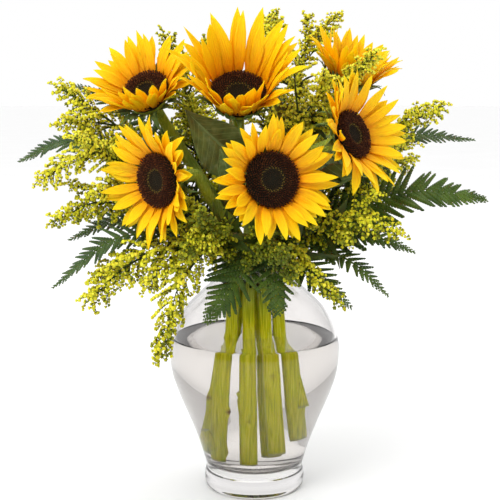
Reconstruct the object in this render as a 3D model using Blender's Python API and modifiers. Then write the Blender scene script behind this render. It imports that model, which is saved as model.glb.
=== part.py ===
"""A bouquet of cut sunflowers, goldenrod and leatherleaf fern standing in a clear glass vase of water.

Run it with  blender --background --python part.py.  Metres, +Z up. The origin is the middle of the
vase's flat foot, on the table. -Y is the side that the flower faces look to.
"""

import math

import bmesh
import bpy
from mathutils import Matrix, Vector

MM = 0.001
GAP = 0.3 * MM  # left between neighbouring pieces

# Vase: a turned glass body on a thick disc foot. Points are radius and height in millimetres.
VASE_STEPS = 28
WALL = 2.8 * MM
WATER_LEVEL = 144 * MM
VASE_FLOOR = 21 * MM
VASE_OUTSIDE = (  # from the foot's flat underside to the lip
    (44.5, 0), (47, 3), (47.3, 11), (45.5, 16.5), (45.6, 21), (52.4, 43.7), (61, 66.5), (70.5, 89),
    (77.3, 109), (79.8, 128), (78.9, 142), (74.6, 155), (64.5, 172.5), (49.5, 187.5), (40.5, 196),
    (38, 203), (40.5, 212), (47, 221), (51.5, 226),
)
VASE_BOWL = ((24, 21.6), (38, 26))  # the rounded inner bottom
BOWL_TOP = 29 * MM
LIP_ROUND = 0.9 * MM

# Sunflower stems
NECK_Z = 203 * MM
STEM_FOOT_R = 6.3 * MM
STEM_TOP_R = 4.8 * MM
STEM_RISE = 16 * MM  # how far above the neck a stem starts to lean out
HEAD_NECK = 34 * MM  # the bent stretch of stem behind a head

# The green receptacle behind a disc: height above the disc's back, radius as a share of the disc's
RECEPTACLE_DEPTH = 12 * MM
RECEPTACLE = ((-5.0, 0.42), (0.0, 0.86), (5.4, 1.04), (7.9, 1.04))
PETALS = 20
PETAL_T = 0.9 * MM
PETAL_SET_BACK = 1.4 * MM
LEAF_T = 1.0 * MM

# Foliage stems, most of which pass the neck in a ring outside the sunflower stems
RING_R = 29.6 * MM
RING_SPREAD = 1.12  # the ring's growth from the neck up to the lip
SPREAD_Z = 224 * MM
BACK_FROM = 8 * MM  # stems behind this stand deeper in the water
FRONT_FROM = -18 * MM  # stems before this end above the water
BACK_FOOT_Z = 112 * MM
SIDE_FOOT_Z = 134 * MM
FRONT_FOOT_Z = 156 * MM
ROD_R = 1.65 * MM
PLUME_R = 9.0 * MM
FERN_STEM_W = 2.4 * MM
FERN_STEM_T = 1.9 * MM
FERN_BLADE_T = 0.9 * MM
LEAFLET_PAIRS = 6
CUTTER_CLEARANCE = 5 * MM  # how far a cutter reaches out of the water

# Each sunflower: face centre, the way it looks, disc radius, petal length, how far the petals cup
# forward, and its stem's foot and place in the neck. Millimetres and degrees.
SUNFLOWERS = {
    1: dict(face=(-96, -30, 371), looks=(-0.30, -0.73, 0.62), disc=21, petal=38, cup=52,
            neck=(-12, 8), foot=(-31.5, 10, 33)),
    2: dict(face=(-14, -47, 369), looks=(0.0, -0.74, 0.67), disc=24.5, petal=55, cup=62,
            neck=(4.2, 4.0), foot=(10.8, 15, 33)),
    3: dict(face=(-81, -88, 297), looks=(-0.68, -0.73, -0.06), disc=22.5, petal=36, cup=33,
            neck=(-18.6, -6), foot=(-27.5, -9, 28)),
    4: dict(face=(14, -117, 300), looks=(0.34, -0.92, 0.19), disc=22.5, petal=35, cup=32,
            neck=(-5.6, -11.5), foot=(-4, -6, 24.2)),
    5: dict(face=(82, -82, 335), looks=(0.72, -0.60, 0.35), disc=20, petal=38, cup=36,
            neck=(7.6, -9.6), foot=(16, -4, 38)),
    6: dict(face=(86, 4, 386), looks=(0.36, -0.30, 0.88), disc=20, petal=40, cup=54,
            neck=(19.8, -3.6), foot=(30, 5, 51)),
}

# Foliage, in millimetres and degrees: where a stem stands in the neck, as an angle on the ring or as
# a place inside it, then its way from the lip to its tip, and the length of its plume or blade.
GOLDENROD = {
    "upper_left": dict(neck=-195, path=((-64, 4, 285), (-128, -27, 345), (-174, -25, 375)), plume=92),
    "left": dict(neck=-168, path=((-76, -26, 272), (-135, -56, 318), (-185, -60, 295)), plume=96),
    "left_low": dict(neck=-158, path=((-74, -38, 250), (-130, -44, 275), (-175, -56, 259)), plume=74),
    "low_left": dict(neck=-138, path=((-50, -60, 240), (-99, -86, 230), (-140, -96, 196)), plume=112),
    "droop": dict(neck=-128, path=((-34, -66, 241), (-62, -112, 212), (-79, -115, 153)), plume=96),
    "centre_left": dict(neck=-108, path=((-22, -62, 245), (-38, -104, 257), (-42, -132, 275)), plume=62),
    "centre_low": dict(neck=-84, path=((4, -62, 242), (12, -112, 244), (24, -148, 243)), plume=66),
    "low_right": dict(neck=-52, path=((27, -60, 240), (46, -104, 224), (69, -115, 200)), plume=62),
    "right": dict(neck=-41, path=((50, -52, 246), (87, -98, 264), (119, -115, 256)), plume=72),
    "between_right": dict(neck=(12.7, 6.2), path=((23, -8, 268), (38, -36, 330), (34, -56, 386)), plume=66),
    "before_top": dict(neck=(15.5, 11.5), path=((28, 9, 292), (62, -34, 360), (103, -62, 403)), plume=72),
    "upper_right": dict(neck=-1, path=((76, -10, 284), (132, -16, 338), (170, -10, 358)), plume=72),
    "top_right": dict(neck=(20, 14), path=((42, 44, 320), (44, 56, 402), (82, 60, 447)), plume=72),
    "top_mid": dict(neck=(15, 18.5), path=((18, 32, 320), (10, 40, 400), (14, 46, 446)), plume=92),
    "top_left": dict(neck=(-17, 16), path=((-52, 22, 300), (-64, 22, 370), (-84, 18, 424)), plume=92),
    "back_right": dict(neck=35, path=((44, 60, 262), (70, 112, 330), (76, 140, 358)), plume=92),
    "back_left": dict(neck=-240, path=((-30, 62, 270), (-54, 108, 335), (-66, 132, 366)), plume=92),
    "side_left": dict(neck=-204, path=((-72, 34, 262), (-128, 72, 305), (-158, 88, 316)), plume=92),
    "side_right": dict(neck=17, path=((72, 30, 258), (126, 66, 296), (158, 84, 304)), plume=92),
}
FERNS = {
    "left": dict(neck=-186, path=((-64, 2, 266), (-126, -10, 316), (-172, -12, 326), (-214, -15, 308)),
                 blade=120, width=60, face=(0.1, -0.55, 0.85)),
    "upper_left": dict(neck=-222, path=((-52, 26, 290), (-112, 30, 350), (-173, 24, 379)),
                       blade=86, width=46, face=(-0.2, -0.7, 0.7)),
    "low_left": dict(neck=-148, path=((-62, -50, 241), (-119, -70, 246), (-173, -80, 204)),
                     blade=100, width=50, face=(-0.3, -0.5, 0.8)),
    "left_mid": dict(neck=-177, path=((-66, -8, 246), (-122, -14, 256), (-168, -28, 238)),
                     blade=98, width=50, face=(-0.2, -0.6, 0.8)),
    "right": dict(neck=-10, path=((66, -22, 246), (136, -38, 282), (205, -42, 277)),
                  blade=125, width=64, face=(0.1, -0.7, 0.7)),
    "upper_right": dict(neck=8, path=((72, 8, 268), (134, 14, 328), (204, 12, 327)),
                        blade=100, width=46, face=(0.1, -0.6, 0.8)),
    "right_low": dict(neck=-20, path=((58, -36, 243), (98, -60, 248), (138, -76, 234)),
                      blade=80, width=44, face=(0.2, -0.7, 0.7)),
    "low_right": dict(neck=-30, path=((46, -40, 240), (86, -74, 224), (116, -76, 196)),
                      blade=76, width=40, face=(0.3, -0.6, 0.7)),
    "bottom_right": dict(neck=-66, path=((21, -59, 236), (56, -88, 212), (82, -94, 190)),
                         blade=70, width=40, face=(0.3, -0.8, 0.4)),
    "front_drop": dict(neck=-97, path=((-6, -60, 240), (-14, -98, 217), (-40, -112, 181)),
                       blade=74, width=54, face=(0.0, -0.9, 0.4)),
    "front_mid": dict(neck=-75, path=((10, -62, 241), (18, -97, 217), (19, -107, 184)),
                      blade=56, width=32, face=(0.1, -0.9, 0.4)),
    "back": dict(neck=44, path=((22, 62, 244), (10, 130, 282), (4, 188, 270)),
                 blade=125, width=60, face=(0.0, 0.6, 0.8)),
    "back_right": dict(neck=26, path=((60, 54, 242), (96, 108, 262), (126, 156, 244)),
                       blade=110, width=56, face=(0.3, 0.5, 0.8)),
    "back_left": dict(neck=-231, path=((-44, 56, 242), (-84, 112, 266), (-112, 154, 246)),
                      blade=110, width=56, face=(-0.3, 0.5, 0.8)),
    "side_left": dict(neck=-213, path=((-62, 34, 243), (-124, 72, 254), (-176, 86, 230)),
                      blade=105, width=52, face=(-0.4, 0.2, 0.9)),
}

# Broad sunflower leaves: the stem each grows from and how high, the blade's tip, the way it faces, width
LEAVES = {
    "centre_left": dict(stem=2, height=285, tip=(-60, -38, 340), face=(-0.2, -1.0, 0.1), width=46),
    "centre_top": dict(stem=6, height=312, tip=(18, -34, 350), face=(-0.1, -1.0, 0.3), width=40),
    "centre": dict(stem=2, height=262, tip=(-30, -62, 318), face=(-0.3, -1.0, 0.2), width=34),
    "right": dict(stem=6, height=262, tip=(114, -40, 303), face=(0.3, -0.6, 0.8), width=36),
    "back": dict(stem=2, height=262, tip=(-24, 88, 350), face=(-0.1, 0.8, 0.5), width=44),
    "back_right": dict(stem=6, height=285, tip=(90, 80, 368), face=(0.4, 0.7, 0.5), width=46),
}

MATERIALS = {  # colour, roughness, metallic, alpha
    "clear_glass": ((0.90, 0.93, 0.92), 0.04, 0.0, 0.35),
    "water": ((0.86, 0.91, 0.90), 0.03, 0.0, 0.35),
    "stem": ((0.33, 0.44, 0.08), 0.55, 0.0, 1.0),
    "disc": ((0.05, 0.02, 0.015), 0.9, 0.0, 1.0),
    "petal": ((0.95, 0.58, 0.02), 0.55, 0.0, 1.0),
    "leaf": ((0.22, 0.36, 0.14), 0.6, 0.0, 1.0),
    "goldenrod": ((0.62, 0.60, 0.06), 0.8, 0.0, 1.0),
    "fern": ((0.06, 0.18, 0.03), 0.5, 0.0, 1.0),
}


def mm(point):
    return Vector(point) * MM


def clear_scene():
    for obj in list(bpy.data.objects):
        bpy.data.objects.remove(obj, do_unlink=True)


def make_material(name):
    colour, roughness, metallic, alpha = MATERIALS[name]
    material = bpy.data.materials.new(name)
    material.use_nodes = True
    shader = material.node_tree.nodes["Principled BSDF"]
    shader.inputs["Base Color"].default_value = (*colour, 1.0)
    shader.inputs["Roughness"].default_value = roughness
    shader.inputs["Metallic"].default_value = metallic
    shader.inputs["Alpha"].default_value = alpha
    return material


def add_object(name, data, collection, material):
    obj = bpy.data.objects.new(name, data)
    collection.objects.link(obj)
    obj.data.materials.append(bpy.data.materials[material])
    return obj


def catmull_rom(points, per_span):
    """A smooth line through the points, with per_span steps between each two of them."""
    ends = [points[0] * 2 - points[1], *points, points[-1] * 2 - points[-2]]
    line = []
    for a, b, c, d in zip(ends, ends[1:], ends[2:], ends[3:]):
        for step in range(per_span):
            t = step / per_span
            line.append(
                0.5 * (2 * b + (c - a) * t + (2 * a - 5 * b + 4 * c - d) * t * t
                       + (3 * b - a - 3 * c + d) * t ** 3)
            )
    return [*line, points[-1]]


def resample(line, count):
    """count points evenly spaced along a line."""
    lengths = [0.0]
    for a, b in zip(line, line[1:]):
        lengths.append(lengths[-1] + (b - a).length)
    evenly = []
    for i in range(count):
        want = lengths[-1] * i / (count - 1)
        k = max(j for j in range(len(line) - 1) if lengths[j] <= want + 1e-12)
        t = (want - lengths[k]) / max(lengths[k + 1] - lengths[k], 1e-12)
        evenly.append(line[k].lerp(line[k + 1], min(t, 1.0)))
    return evenly


def tube_curve(name, points, radii, resolution):
    """A round tube through the points, with a radius at each and filled ends."""
    curve = bpy.data.curves.new(name, "CURVE")
    curve.dimensions = "3D"
    curve.bevel_depth = 1.0
    curve.bevel_resolution = resolution
    curve.use_fill_caps = True
    spline = curve.splines.new("POLY")
    spline.points.add(len(points) - 1)
    for point, place, radius in zip(spline.points, points, radii):
        point.co = (*place, 1.0)
        point.radius = radius
    return curve


def turned(name, profile, steps, collection, material):
    """A solid turned round Z from (radius, height) points that run up the inside and down the outside."""
    mesh = bpy.data.meshes.new(name)
    edges = [(i, i + 1) for i in range(len(profile) - 1)]
    mesh.from_pydata([(r, 0.0, z) for r, z in profile], edges, [])
    obj = add_object(name, mesh, collection, material)
    screw = obj.modifiers.new("turn", "SCREW")
    screw.steps = screw.render_steps = steps
    screw.use_merge_vertices = True
    screw.merge_threshold = 0.00005
    return obj


def vase_wall(low, high):
    """The inside of the vase's wall between two heights."""
    return [(r * MM - WALL, z * MM) for r, z in VASE_OUTSIDE if low < z * MM < high]


def make_vase(collection):
    outside = [(r * MM, z * MM) for r, z in VASE_OUTSIDE]
    bowl = [(0.0, VASE_FLOOR), *((r * MM, z * MM) for r, z in VASE_BOWL)]
    top_r, top_z = outside[-1]
    inside = vase_wall(BOWL_TOP, top_z + GAP)
    lip = [(top_r - WALL / 2, top_z + LIP_ROUND)]
    profile = [*bowl, *inside, *lip, *reversed(outside), (0.0, 0.0)]
    return turned("vase", profile, VASE_STEPS, collection, "clear_glass")


def make_water(collection, cutters):
    """The water fills the vase to its level, and each stem that stands in it is cut from it."""
    wall = [*((r * MM, z * MM) for r, z in VASE_BOWL), *vase_wall(BOWL_TOP, WATER_LEVEL + 12 * MM)]
    (below_r, below_z), (above_r, above_z) = wall[-2:]
    edge = below_r + (above_r - below_r) * (WATER_LEVEL - below_z) / (above_z - below_z)
    outside = [*((r - GAP, z + GAP) for r, z in wall[:-2]), (edge - GAP, WATER_LEVEL)]
    profile = [(0.0, WATER_LEVEL), *reversed(outside), (0.0, VASE_FLOOR + GAP)]
    water = turned("water", profile, VASE_STEPS, collection, "water")
    cut = water.modifiers.new("stems", "BOOLEAN")
    cut.operation = "DIFFERENCE"
    cut.operand_type = "COLLECTION"
    cut.collection = cutters
    cut.solver = "EXACT"
    return water


def add_cutter(name, line, radius, cutters):
    """A closed tube a little wider than a stem, along the part of its line that can be in the water."""
    if line[0].z > WATER_LEVEL:
        return
    above = next(i for i, p in enumerate(line) if p.z > WATER_LEVEL + CUTTER_CLEARANCE)
    wet = line[:above + 1]
    start = wet[0] - (wet[1] - wet[0]).normalized() * GAP
    curve = tube_curve(name, [start, *wet[1:]], [radius + GAP] * len(wet), 2)
    source = bpy.data.objects.new(name + "_line", curve)
    bpy.context.scene.collection.objects.link(source)
    graph = bpy.context.evaluated_depsgraph_get()
    mesh = bpy.data.meshes.new_from_object(source.evaluated_get(graph))
    bpy.data.objects.remove(source, do_unlink=True)
    shape = bmesh.new()
    shape.from_mesh(mesh)
    bmesh.ops.remove_doubles(shape, verts=shape.verts, dist=0.00001)
    bmesh.ops.recalc_face_normals(shape, faces=shape.faces)
    shape.to_mesh(mesh)
    shape.free()
    cutter = bpy.data.objects.new(name, mesh)
    cutter.hide_render = True
    cutter.display_type = "WIRE"
    cutters.objects.link(cutter)


def facing(centre, looks):
    """The placement of a flower face: local Z is the way it looks, and local Y is its upper side."""
    z = Vector(looks).normalized()
    x = Vector((0, 0, 1)).cross(z).normalized()
    y = z.cross(x)
    turn = Matrix((x, y, z)).transposed().to_4x4()
    return Matrix.Translation(centre) @ turn


def sunflower_line(flower):
    """A sunflower stem's way from its foot in the water to the back of its head, and its radii."""
    looks = Vector(flower["looks"]).normalized()
    foot = mm(flower["foot"])
    neck = Vector((*mm((*flower["neck"], 0)).xy, NECK_Z))
    rise = neck + (neck - foot) * 0.06 + Vector((0, 0, STEM_RISE))
    head = mm(flower["face"]) - looks * (RECEPTACLE_DEPTH + HEAD_NECK)
    line = catmull_rom([foot, foot.lerp(neck, 0.5), neck, rise, head], 3)
    last = len(line) - 1
    radii = [STEM_FOOT_R + (STEM_TOP_R - STEM_FOOT_R) * i / last for i in range(len(line))]
    return line, radii


def make_sunflower_stem(number, flower, collection, cutters):
    """The stem with the green receptacle that it widens into behind the disc."""
    looks = Vector(flower["looks"]).normalized()
    back = mm(flower["face"]) - looks * RECEPTACLE_DEPTH
    line, radii = sunflower_line(flower)
    add_cutter(f"cut_sunflower_{number}", line, STEM_FOOT_R, cutters)
    line.append(back - looks * HEAD_NECK * 0.4)
    radii.append(STEM_TOP_R)
    for height, share in RECEPTACLE:
        line.append(back + looks * height * MM)
        radii.append(share * flower["disc"] * MM)
    name = f"sunflower_stem_{number}"
    add_object(name, tube_curve(name, line, radii, 2), collection, "stem")


def make_disc(number, flower, collection):
    """The dark domed disc, set into the ring of petals."""
    radius = flower["disc"] * MM
    base = -RECEPTACLE_DEPTH * 0.34 + GAP
    profile = [(0.0, 3.2 * MM), (radius * 0.35, 2.6 * MM), (radius * 0.6, 4.2 * MM), (radius * 0.86, 3.4 * MM),
               (radius, 0.8 * MM), (radius, base), (0.0, base)]
    disc = turned(f"disc_{number}", profile, 16, collection, "disc")
    disc.matrix_world = facing(mm(flower["face"]), flower["looks"])


def make_petals(number, flower, collection):
    """The ray petals, grown together at their roots into one ring round the disc."""
    inner = flower["disc"] * MM + GAP * 4
    length, cup = flower["petal"] * MM, math.radians(flower["cup"])
    shape = bmesh.new()

    def place(angle, along):
        """A point along a petal that rises from the disc's plane and curves open towards its tip."""
        lean = cup * (1.15 - 0.3 * along / length)
        out = inner + along * math.cos(lean)
        height = along * math.sin(lean) - PETAL_SET_BACK
        return shape.verts.new((out * math.cos(angle), out * math.sin(angle), height))

    pitch = 2 * math.pi / PETALS
    roots = [place(i * pitch, 0.0) for i in range(PETALS)]
    collar = [place(i * pitch, 0.10 * length) for i in range(PETALS)]
    for i in range(PETALS):
        following = (i + 1) % PETALS
        shape.faces.new((roots[i], collar[i], collar[following], roots[following]))
        middle = (i + 0.5) * pitch
        uneven = 1 - 0.10 * (i * 7 % 5) / 4
        broad = [place(middle + side * 0.40 * pitch, 0.55 * length) for side in (-1, 1)]
        tip = place(middle, length * uneven)
        shape.faces.new((collar[i], broad[0], broad[1], collar[following]))
        shape.faces.new((broad[0], tip, broad[1]))
    bmesh.ops.recalc_face_normals(shape, faces=shape.faces)
    mesh = bpy.data.meshes.new(f"petals_{number}")
    shape.to_mesh(mesh)
    shape.free()
    petals = add_object(f"petals_{number}", mesh, collection, "petal")
    thicken = petals.modifiers.new("thickness", "SOLIDIFY")
    thicken.thickness = PETAL_T
    thicken.offset = 0.0
    petals.matrix_world = facing(mm(flower["face"]), flower["looks"])


def foliage_foot(neck):
    """Where a foliage stem ends below the neck: shallow at the front and sides, deep at the back."""
    if neck.y > BACK_FROM:
        return Vector((neck.x * 0.92, neck.y * 1.25 + 3 * MM, BACK_FOOT_Z + 0.6 * abs(neck.x)))
    if neck.y > FRONT_FROM:
        return Vector((neck.x * 1.08, neck.y * 1.08, SIDE_FOOT_Z))
    return Vector((neck.x * 1.05, neck.y * 1.05, FRONT_FOOT_Z))


def foliage_line(piece, per_span):
    if isinstance(piece["neck"], tuple):
        neck = Vector((*mm((*piece["neck"], 0)).xy, NECK_Z))
    else:
        angle = math.radians(piece["neck"])
        neck = Vector((RING_R * math.cos(angle), RING_R * math.sin(angle), NECK_Z))
    foot = foliage_foot(neck)
    rise = Vector((neck.x * RING_SPREAD, neck.y * RING_SPREAD, SPREAD_Z))
    return catmull_rom([foot, foot.lerp(neck, 0.5), neck, rise, *(mm(p) for p in piece["path"])], per_span)


def distances(line):
    """How far along a line each of its points is."""
    along = [0.0]
    for a, b in zip(line, line[1:]):
        along.append(along[-1] + (b - a).length)
    return along


def make_goldenrod(name, spray, collection, cutters):
    """One spray of goldenrod: a thin stem that carries a plume, widest below its middle."""
    line = foliage_line(spray, 2)
    along = distances(line)
    plume = spray["plume"] * MM
    stem = [p for p, at in zip(line, along) if at < along[-1] - plume - 2 * MM]
    fine = foliage_line(spray, 6)
    head = resample([p for p, at in zip(fine, distances(fine)) if at >= along[-1] - plume], 8)
    radii = [ROD_R] * len(stem)
    for i in range(len(head)):
        radii.append(ROD_R + PLUME_R * math.sin(math.pi * (i / (len(head) - 1)) ** 0.75))
    name = f"goldenrod_{name}"
    add_object(name, tube_curve(name, [*stem, *head], radii, 1), collection, "goldenrod")
    add_cutter(f"cut_{name}", line, ROD_R + 0.35 * MM, cutters)


def make_fern(name, frond, collection, cutters):
    """One frond: a flat leaf stalk and a tapering blade with a row of leaflets along each side."""
    fine, coarse = foliage_line(frond, 6), foliage_line(frond, 2)
    blade, width = frond["blade"] * MM, frond["width"] * MM
    face = Vector(frond["face"]).normalized()
    along = distances(fine)
    blade_from = along[-1] - blade
    stalk = [p for p, at in zip(coarse, distances(coarse)) if at < blade_from - 3 * MM]
    rib = resample([p for p, at in zip(fine, along) if at >= blade_from], 2 * LEAFLET_PAIRS + 2)
    spine = stalk + rib
    shape = bmesh.new()
    thick = shape.verts.layers.deform.verify()
    bars = []
    for i, point in enumerate(spine):
        ahead = (spine[min(i + 1, len(spine) - 1)] - spine[max(i - 1, 0)]).normalized()
        across = ahead.cross(face).normalized()
        on_blade = max(0, i - len(stalk)) / (len(rib) - 1)
        half = FERN_STEM_W / 2 * (1 - 0.55 * on_blade)
        sides = [shape.verts.new(point + across * half * sign) for sign in (-1, 1)]
        bars.append((*sides, ahead, across))
    for near, far in zip(bars, bars[1:]):
        shape.faces.new((near[0], near[1], far[1], far[0]))
    for pair in range(LEAFLET_PAIRS):
        root, following = bars[len(stalk) + 2 * pair:len(stalk) + 2 * pair + 2]
        share = pair / LEAFLET_PAIRS
        reach = width / 2 * (1 - share) ** 0.8 * (0.72 + 0.28 * min(1.0, share * 5))
        for side, sign in ((0, -1), (1, 1)):
            outward = root[3] * sign * 0.86 + root[2] * 0.5
            middle = (root[side].co + following[side].co) / 2
            breadth = (following[side].co - root[side].co) * 0.62
            low = shape.verts.new(middle + outward * reach * 0.55 - breadth)
            high = shape.verts.new(middle + outward * reach * 0.55 + breadth)
            tip = shape.verts.new(middle + outward * reach)
            quad = (root[side], low, high, following[side])
            point = (low, tip, high)
            shape.faces.new(quad if side else quad[::-1])
            shape.faces.new(point if side else point[::-1])
    for vert in shape.verts:
        vert[thick][0] = FERN_BLADE_T / FERN_STEM_T
    for bar in bars[:len(stalk)]:
        bar[0][thick][0] = bar[1][thick][0] = 1.0
    bmesh.ops.recalc_face_normals(shape, faces=shape.faces)
    mesh = bpy.data.meshes.new(f"fern_{name}")
    shape.to_mesh(mesh)
    shape.free()
    fern = add_object(f"fern_{name}", mesh, collection, "fern")
    fern.vertex_groups.new(name="thickness")
    thicken = fern.modifiers.new("thickness", "SOLIDIFY")
    thicken.thickness = FERN_STEM_T
    thicken.offset = 0.0
    thicken.vertex_group = "thickness"
    add_cutter(f"cut_fern_{name}", coarse, FERN_STEM_W * 0.66, cutters)


def make_leaf(name, leaf, collection):
    """A broad heart-shaped leaf with its stalk, bent along its length and folded up a little at its rib."""
    stem, radii = sunflower_line(SUNFLOWERS[leaf["stem"]])
    i = min(range(len(stem)), key=lambda k: abs(stem[k].z - leaf["height"] * MM))
    tip = mm(leaf["tip"])
    face, width = Vector(leaf["face"]).normalized(), leaf["width"] * MM
    growing = (stem[i + 1] - stem[i - 1]).normalized()
    outward = tip - stem[i]
    outward = (outward - growing * outward.dot(growing)).normalized()
    base = stem[i] + outward * (radii[i] + 2 * GAP)
    ahead = tip - base
    across = ahead.cross(face).normalized()
    normal = across.cross(ahead).normalized()
    shape = bmesh.new()
    rows = []
    outline = ((0.0, 0.035), (0.22, 0.035), (0.27, 0.36), (0.42, 0.50), (0.62, 0.42), (0.82, 0.21), (1.0, 0.0))
    for along, half in outline:
        arch = normal * (0.35 * ahead.length * along * (1 - along))
        rib = base + ahead * along + arch
        lift = normal * half * width * 0.22
        if half:
            rows.append((shape.verts.new(rib - across * half * width + lift), shape.verts.new(rib),
                         shape.verts.new(rib + across * half * width + lift)))
        else:
            rows.append((shape.verts.new(rib),) * 3)
    for near, far in zip(rows, rows[1:]):
        if far[0] is far[1]:
            shape.faces.new((near[0], near[1], far[1]))
            shape.faces.new((near[1], near[2], far[1]))
        else:
            shape.faces.new((near[0], near[1], far[1], far[0]))
            shape.faces.new((near[1], near[2], far[2], far[1]))
    bmesh.ops.recalc_face_normals(shape, faces=shape.faces)
    mesh = bpy.data.meshes.new(f"leaf_{name}")
    shape.to_mesh(mesh)
    shape.free()
    obj = add_object(f"leaf_{name}", mesh, collection, "leaf")
    thicken = obj.modifiers.new("thickness", "SOLIDIFY")
    thicken.thickness = LEAF_T
    thicken.offset = 0.0


def main():
    clear_scene()
    scene = bpy.context.scene.collection
    bouquet = bpy.data.collections.new("sunflower_bouquet")
    cutters = bpy.data.collections.new("cutters")
    scene.children.link(bouquet)
    scene.children.link(cutters)
    for name in MATERIALS:
        make_material(name)
    for number, flower in SUNFLOWERS.items():
        make_sunflower_stem(number, flower, bouquet, cutters)
        make_disc(number, flower, bouquet)
        make_petals(number, flower, bouquet)
    for name, spray in GOLDENROD.items():
        make_goldenrod(name, spray, bouquet, cutters)
    for name, frond in FERNS.items():
        make_fern(name, frond, bouquet, cutters)
    for name, leaf in LEAVES.items():
        make_leaf(name, leaf, bouquet)
    make_vase(bouquet)
    make_water(bouquet, cutters)


main()
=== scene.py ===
"""Sunflowers, goldenrod and leatherleaf fern in a clear glass urn of water.

Metres, +Z up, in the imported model's frame: the origin is the middle of the vase's flat foot, and -Y is
the front. The sections follow the bouquet as it is put together.
"""

import math
import random

import bmesh
import bpy
from mathutils import Matrix, Vector


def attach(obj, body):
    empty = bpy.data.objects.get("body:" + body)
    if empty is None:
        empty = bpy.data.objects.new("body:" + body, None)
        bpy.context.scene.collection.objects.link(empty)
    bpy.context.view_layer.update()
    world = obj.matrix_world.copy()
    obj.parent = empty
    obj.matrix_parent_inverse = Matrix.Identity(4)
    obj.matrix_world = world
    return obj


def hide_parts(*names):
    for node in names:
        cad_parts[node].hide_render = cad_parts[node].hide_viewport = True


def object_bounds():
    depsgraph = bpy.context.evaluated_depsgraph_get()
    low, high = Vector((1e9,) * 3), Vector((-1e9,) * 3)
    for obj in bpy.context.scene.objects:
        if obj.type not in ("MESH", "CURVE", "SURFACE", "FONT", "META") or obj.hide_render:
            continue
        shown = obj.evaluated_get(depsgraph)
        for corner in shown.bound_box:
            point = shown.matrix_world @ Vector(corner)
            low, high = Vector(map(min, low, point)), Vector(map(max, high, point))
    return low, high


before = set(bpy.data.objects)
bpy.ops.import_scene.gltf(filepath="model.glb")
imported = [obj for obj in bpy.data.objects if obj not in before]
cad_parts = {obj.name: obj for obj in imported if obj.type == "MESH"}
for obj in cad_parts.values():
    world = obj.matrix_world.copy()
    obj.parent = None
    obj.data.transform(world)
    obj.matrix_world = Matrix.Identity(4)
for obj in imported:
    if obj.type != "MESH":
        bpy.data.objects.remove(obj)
cad_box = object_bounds()

# ---- Vase ---------------------------------------------------------------------------------------
# A mould-blown urn of clear soda glass. Its foot is a thick solid disc, its wall about 3 mm, and the
# lip is fire-polished to a full round. Glass shows by its refraction, a faint grey tint, and slight waves.

MM = 0.001
VASE_WALL = 2.8 * MM
VASE_FLOOR = 21 * MM
VASE_OUTLINE = (  # radius and height in millimetres, from the foot's edge to the lip
    (47.2, 6), (47.3, 12), (46.4, 16), (45.1, 18.6), (45.9, 22), (52.4, 43.7), (61, 66.5), (70.5, 89),
    (77.3, 109), (79.8, 128), (78.9, 142), (74.6, 155), (64.5, 172.5), (49.5, 187.5), (40.5, 196),
    (38, 203), (40.5, 212), (47, 221), (51.2, 225.6),
)
VASE_TURNS = 120
WALL_FROM = VASE_FLOOR + 9 * MM  # the inner wall's lowest point, above a rounded floor
FLOOR_LINE = ((0, VASE_FLOOR), (18 * MM, VASE_FLOOR + 0.3 * MM), (36 * MM, VASE_FLOOR + 3.5 * MM))
FOOT_LINE = ((46.6 * MM, 2.2 * MM), (45.2 * MM, 0.6 * MM), (43.6 * MM, 0.0), (0.0, 0.0))
LIP_STEPS = 8
VASE_STEPS = 5


def smooth_line(points, per_span):
    """A smooth line through the points, with per_span steps between each two of them."""
    points = [Vector(p) for p in points]
    ends = [points[0] * 2 - points[1], *points, points[-1] * 2 - points[-2]]
    line = []
    for a, b, c, d in zip(ends, ends[1:], ends[2:], ends[3:]):
        for step in range(per_span):
            t = step / per_span
            line.append(0.5 * (2 * b + (c - a) * t + (2 * a - 5 * b + 4 * c - d) * t * t
                               + (3 * b - a - 3 * c + d) * t ** 3))
    return [*line, points[-1]]


def turn(shape, outline, turns):
    """Spins an outline of (radius, height) points round Z. Ends on the axis close to single points."""
    corners = [shape.verts.new((r, 0.0, z)) for r, z in outline]
    sides = [shape.edges.new(pair) for pair in zip(corners, corners[1:])]
    bmesh.ops.spin(shape, geom=corners + sides, axis=(0, 0, 1), cent=(0, 0, 0), steps=turns,
                   angle=2 * math.pi, use_merge=True)
    bmesh.ops.remove_doubles(shape, verts=shape.verts, dist=0.00001)
    bmesh.ops.recalc_face_normals(shape, faces=shape.faces)


def mesh_of(shape, name):
    """The mesh of a shape that is done."""
    mesh = bpy.data.meshes.new(name)
    shape.to_mesh(mesh)
    shape.free()
    return mesh


def put(shape, name, material, slot, *nodes):
    """Makes the finished piece from its shape, and lets it stand for its CAD nodes."""
    mesh = mesh_of(shape, name)
    mesh.materials.append(material)
    mesh.shade_smooth()
    piece = bpy.data.objects.new(name, mesh)
    bpy.context.scene.collection.objects.link(piece)
    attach(piece, "root")
    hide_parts(*nodes)


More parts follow.
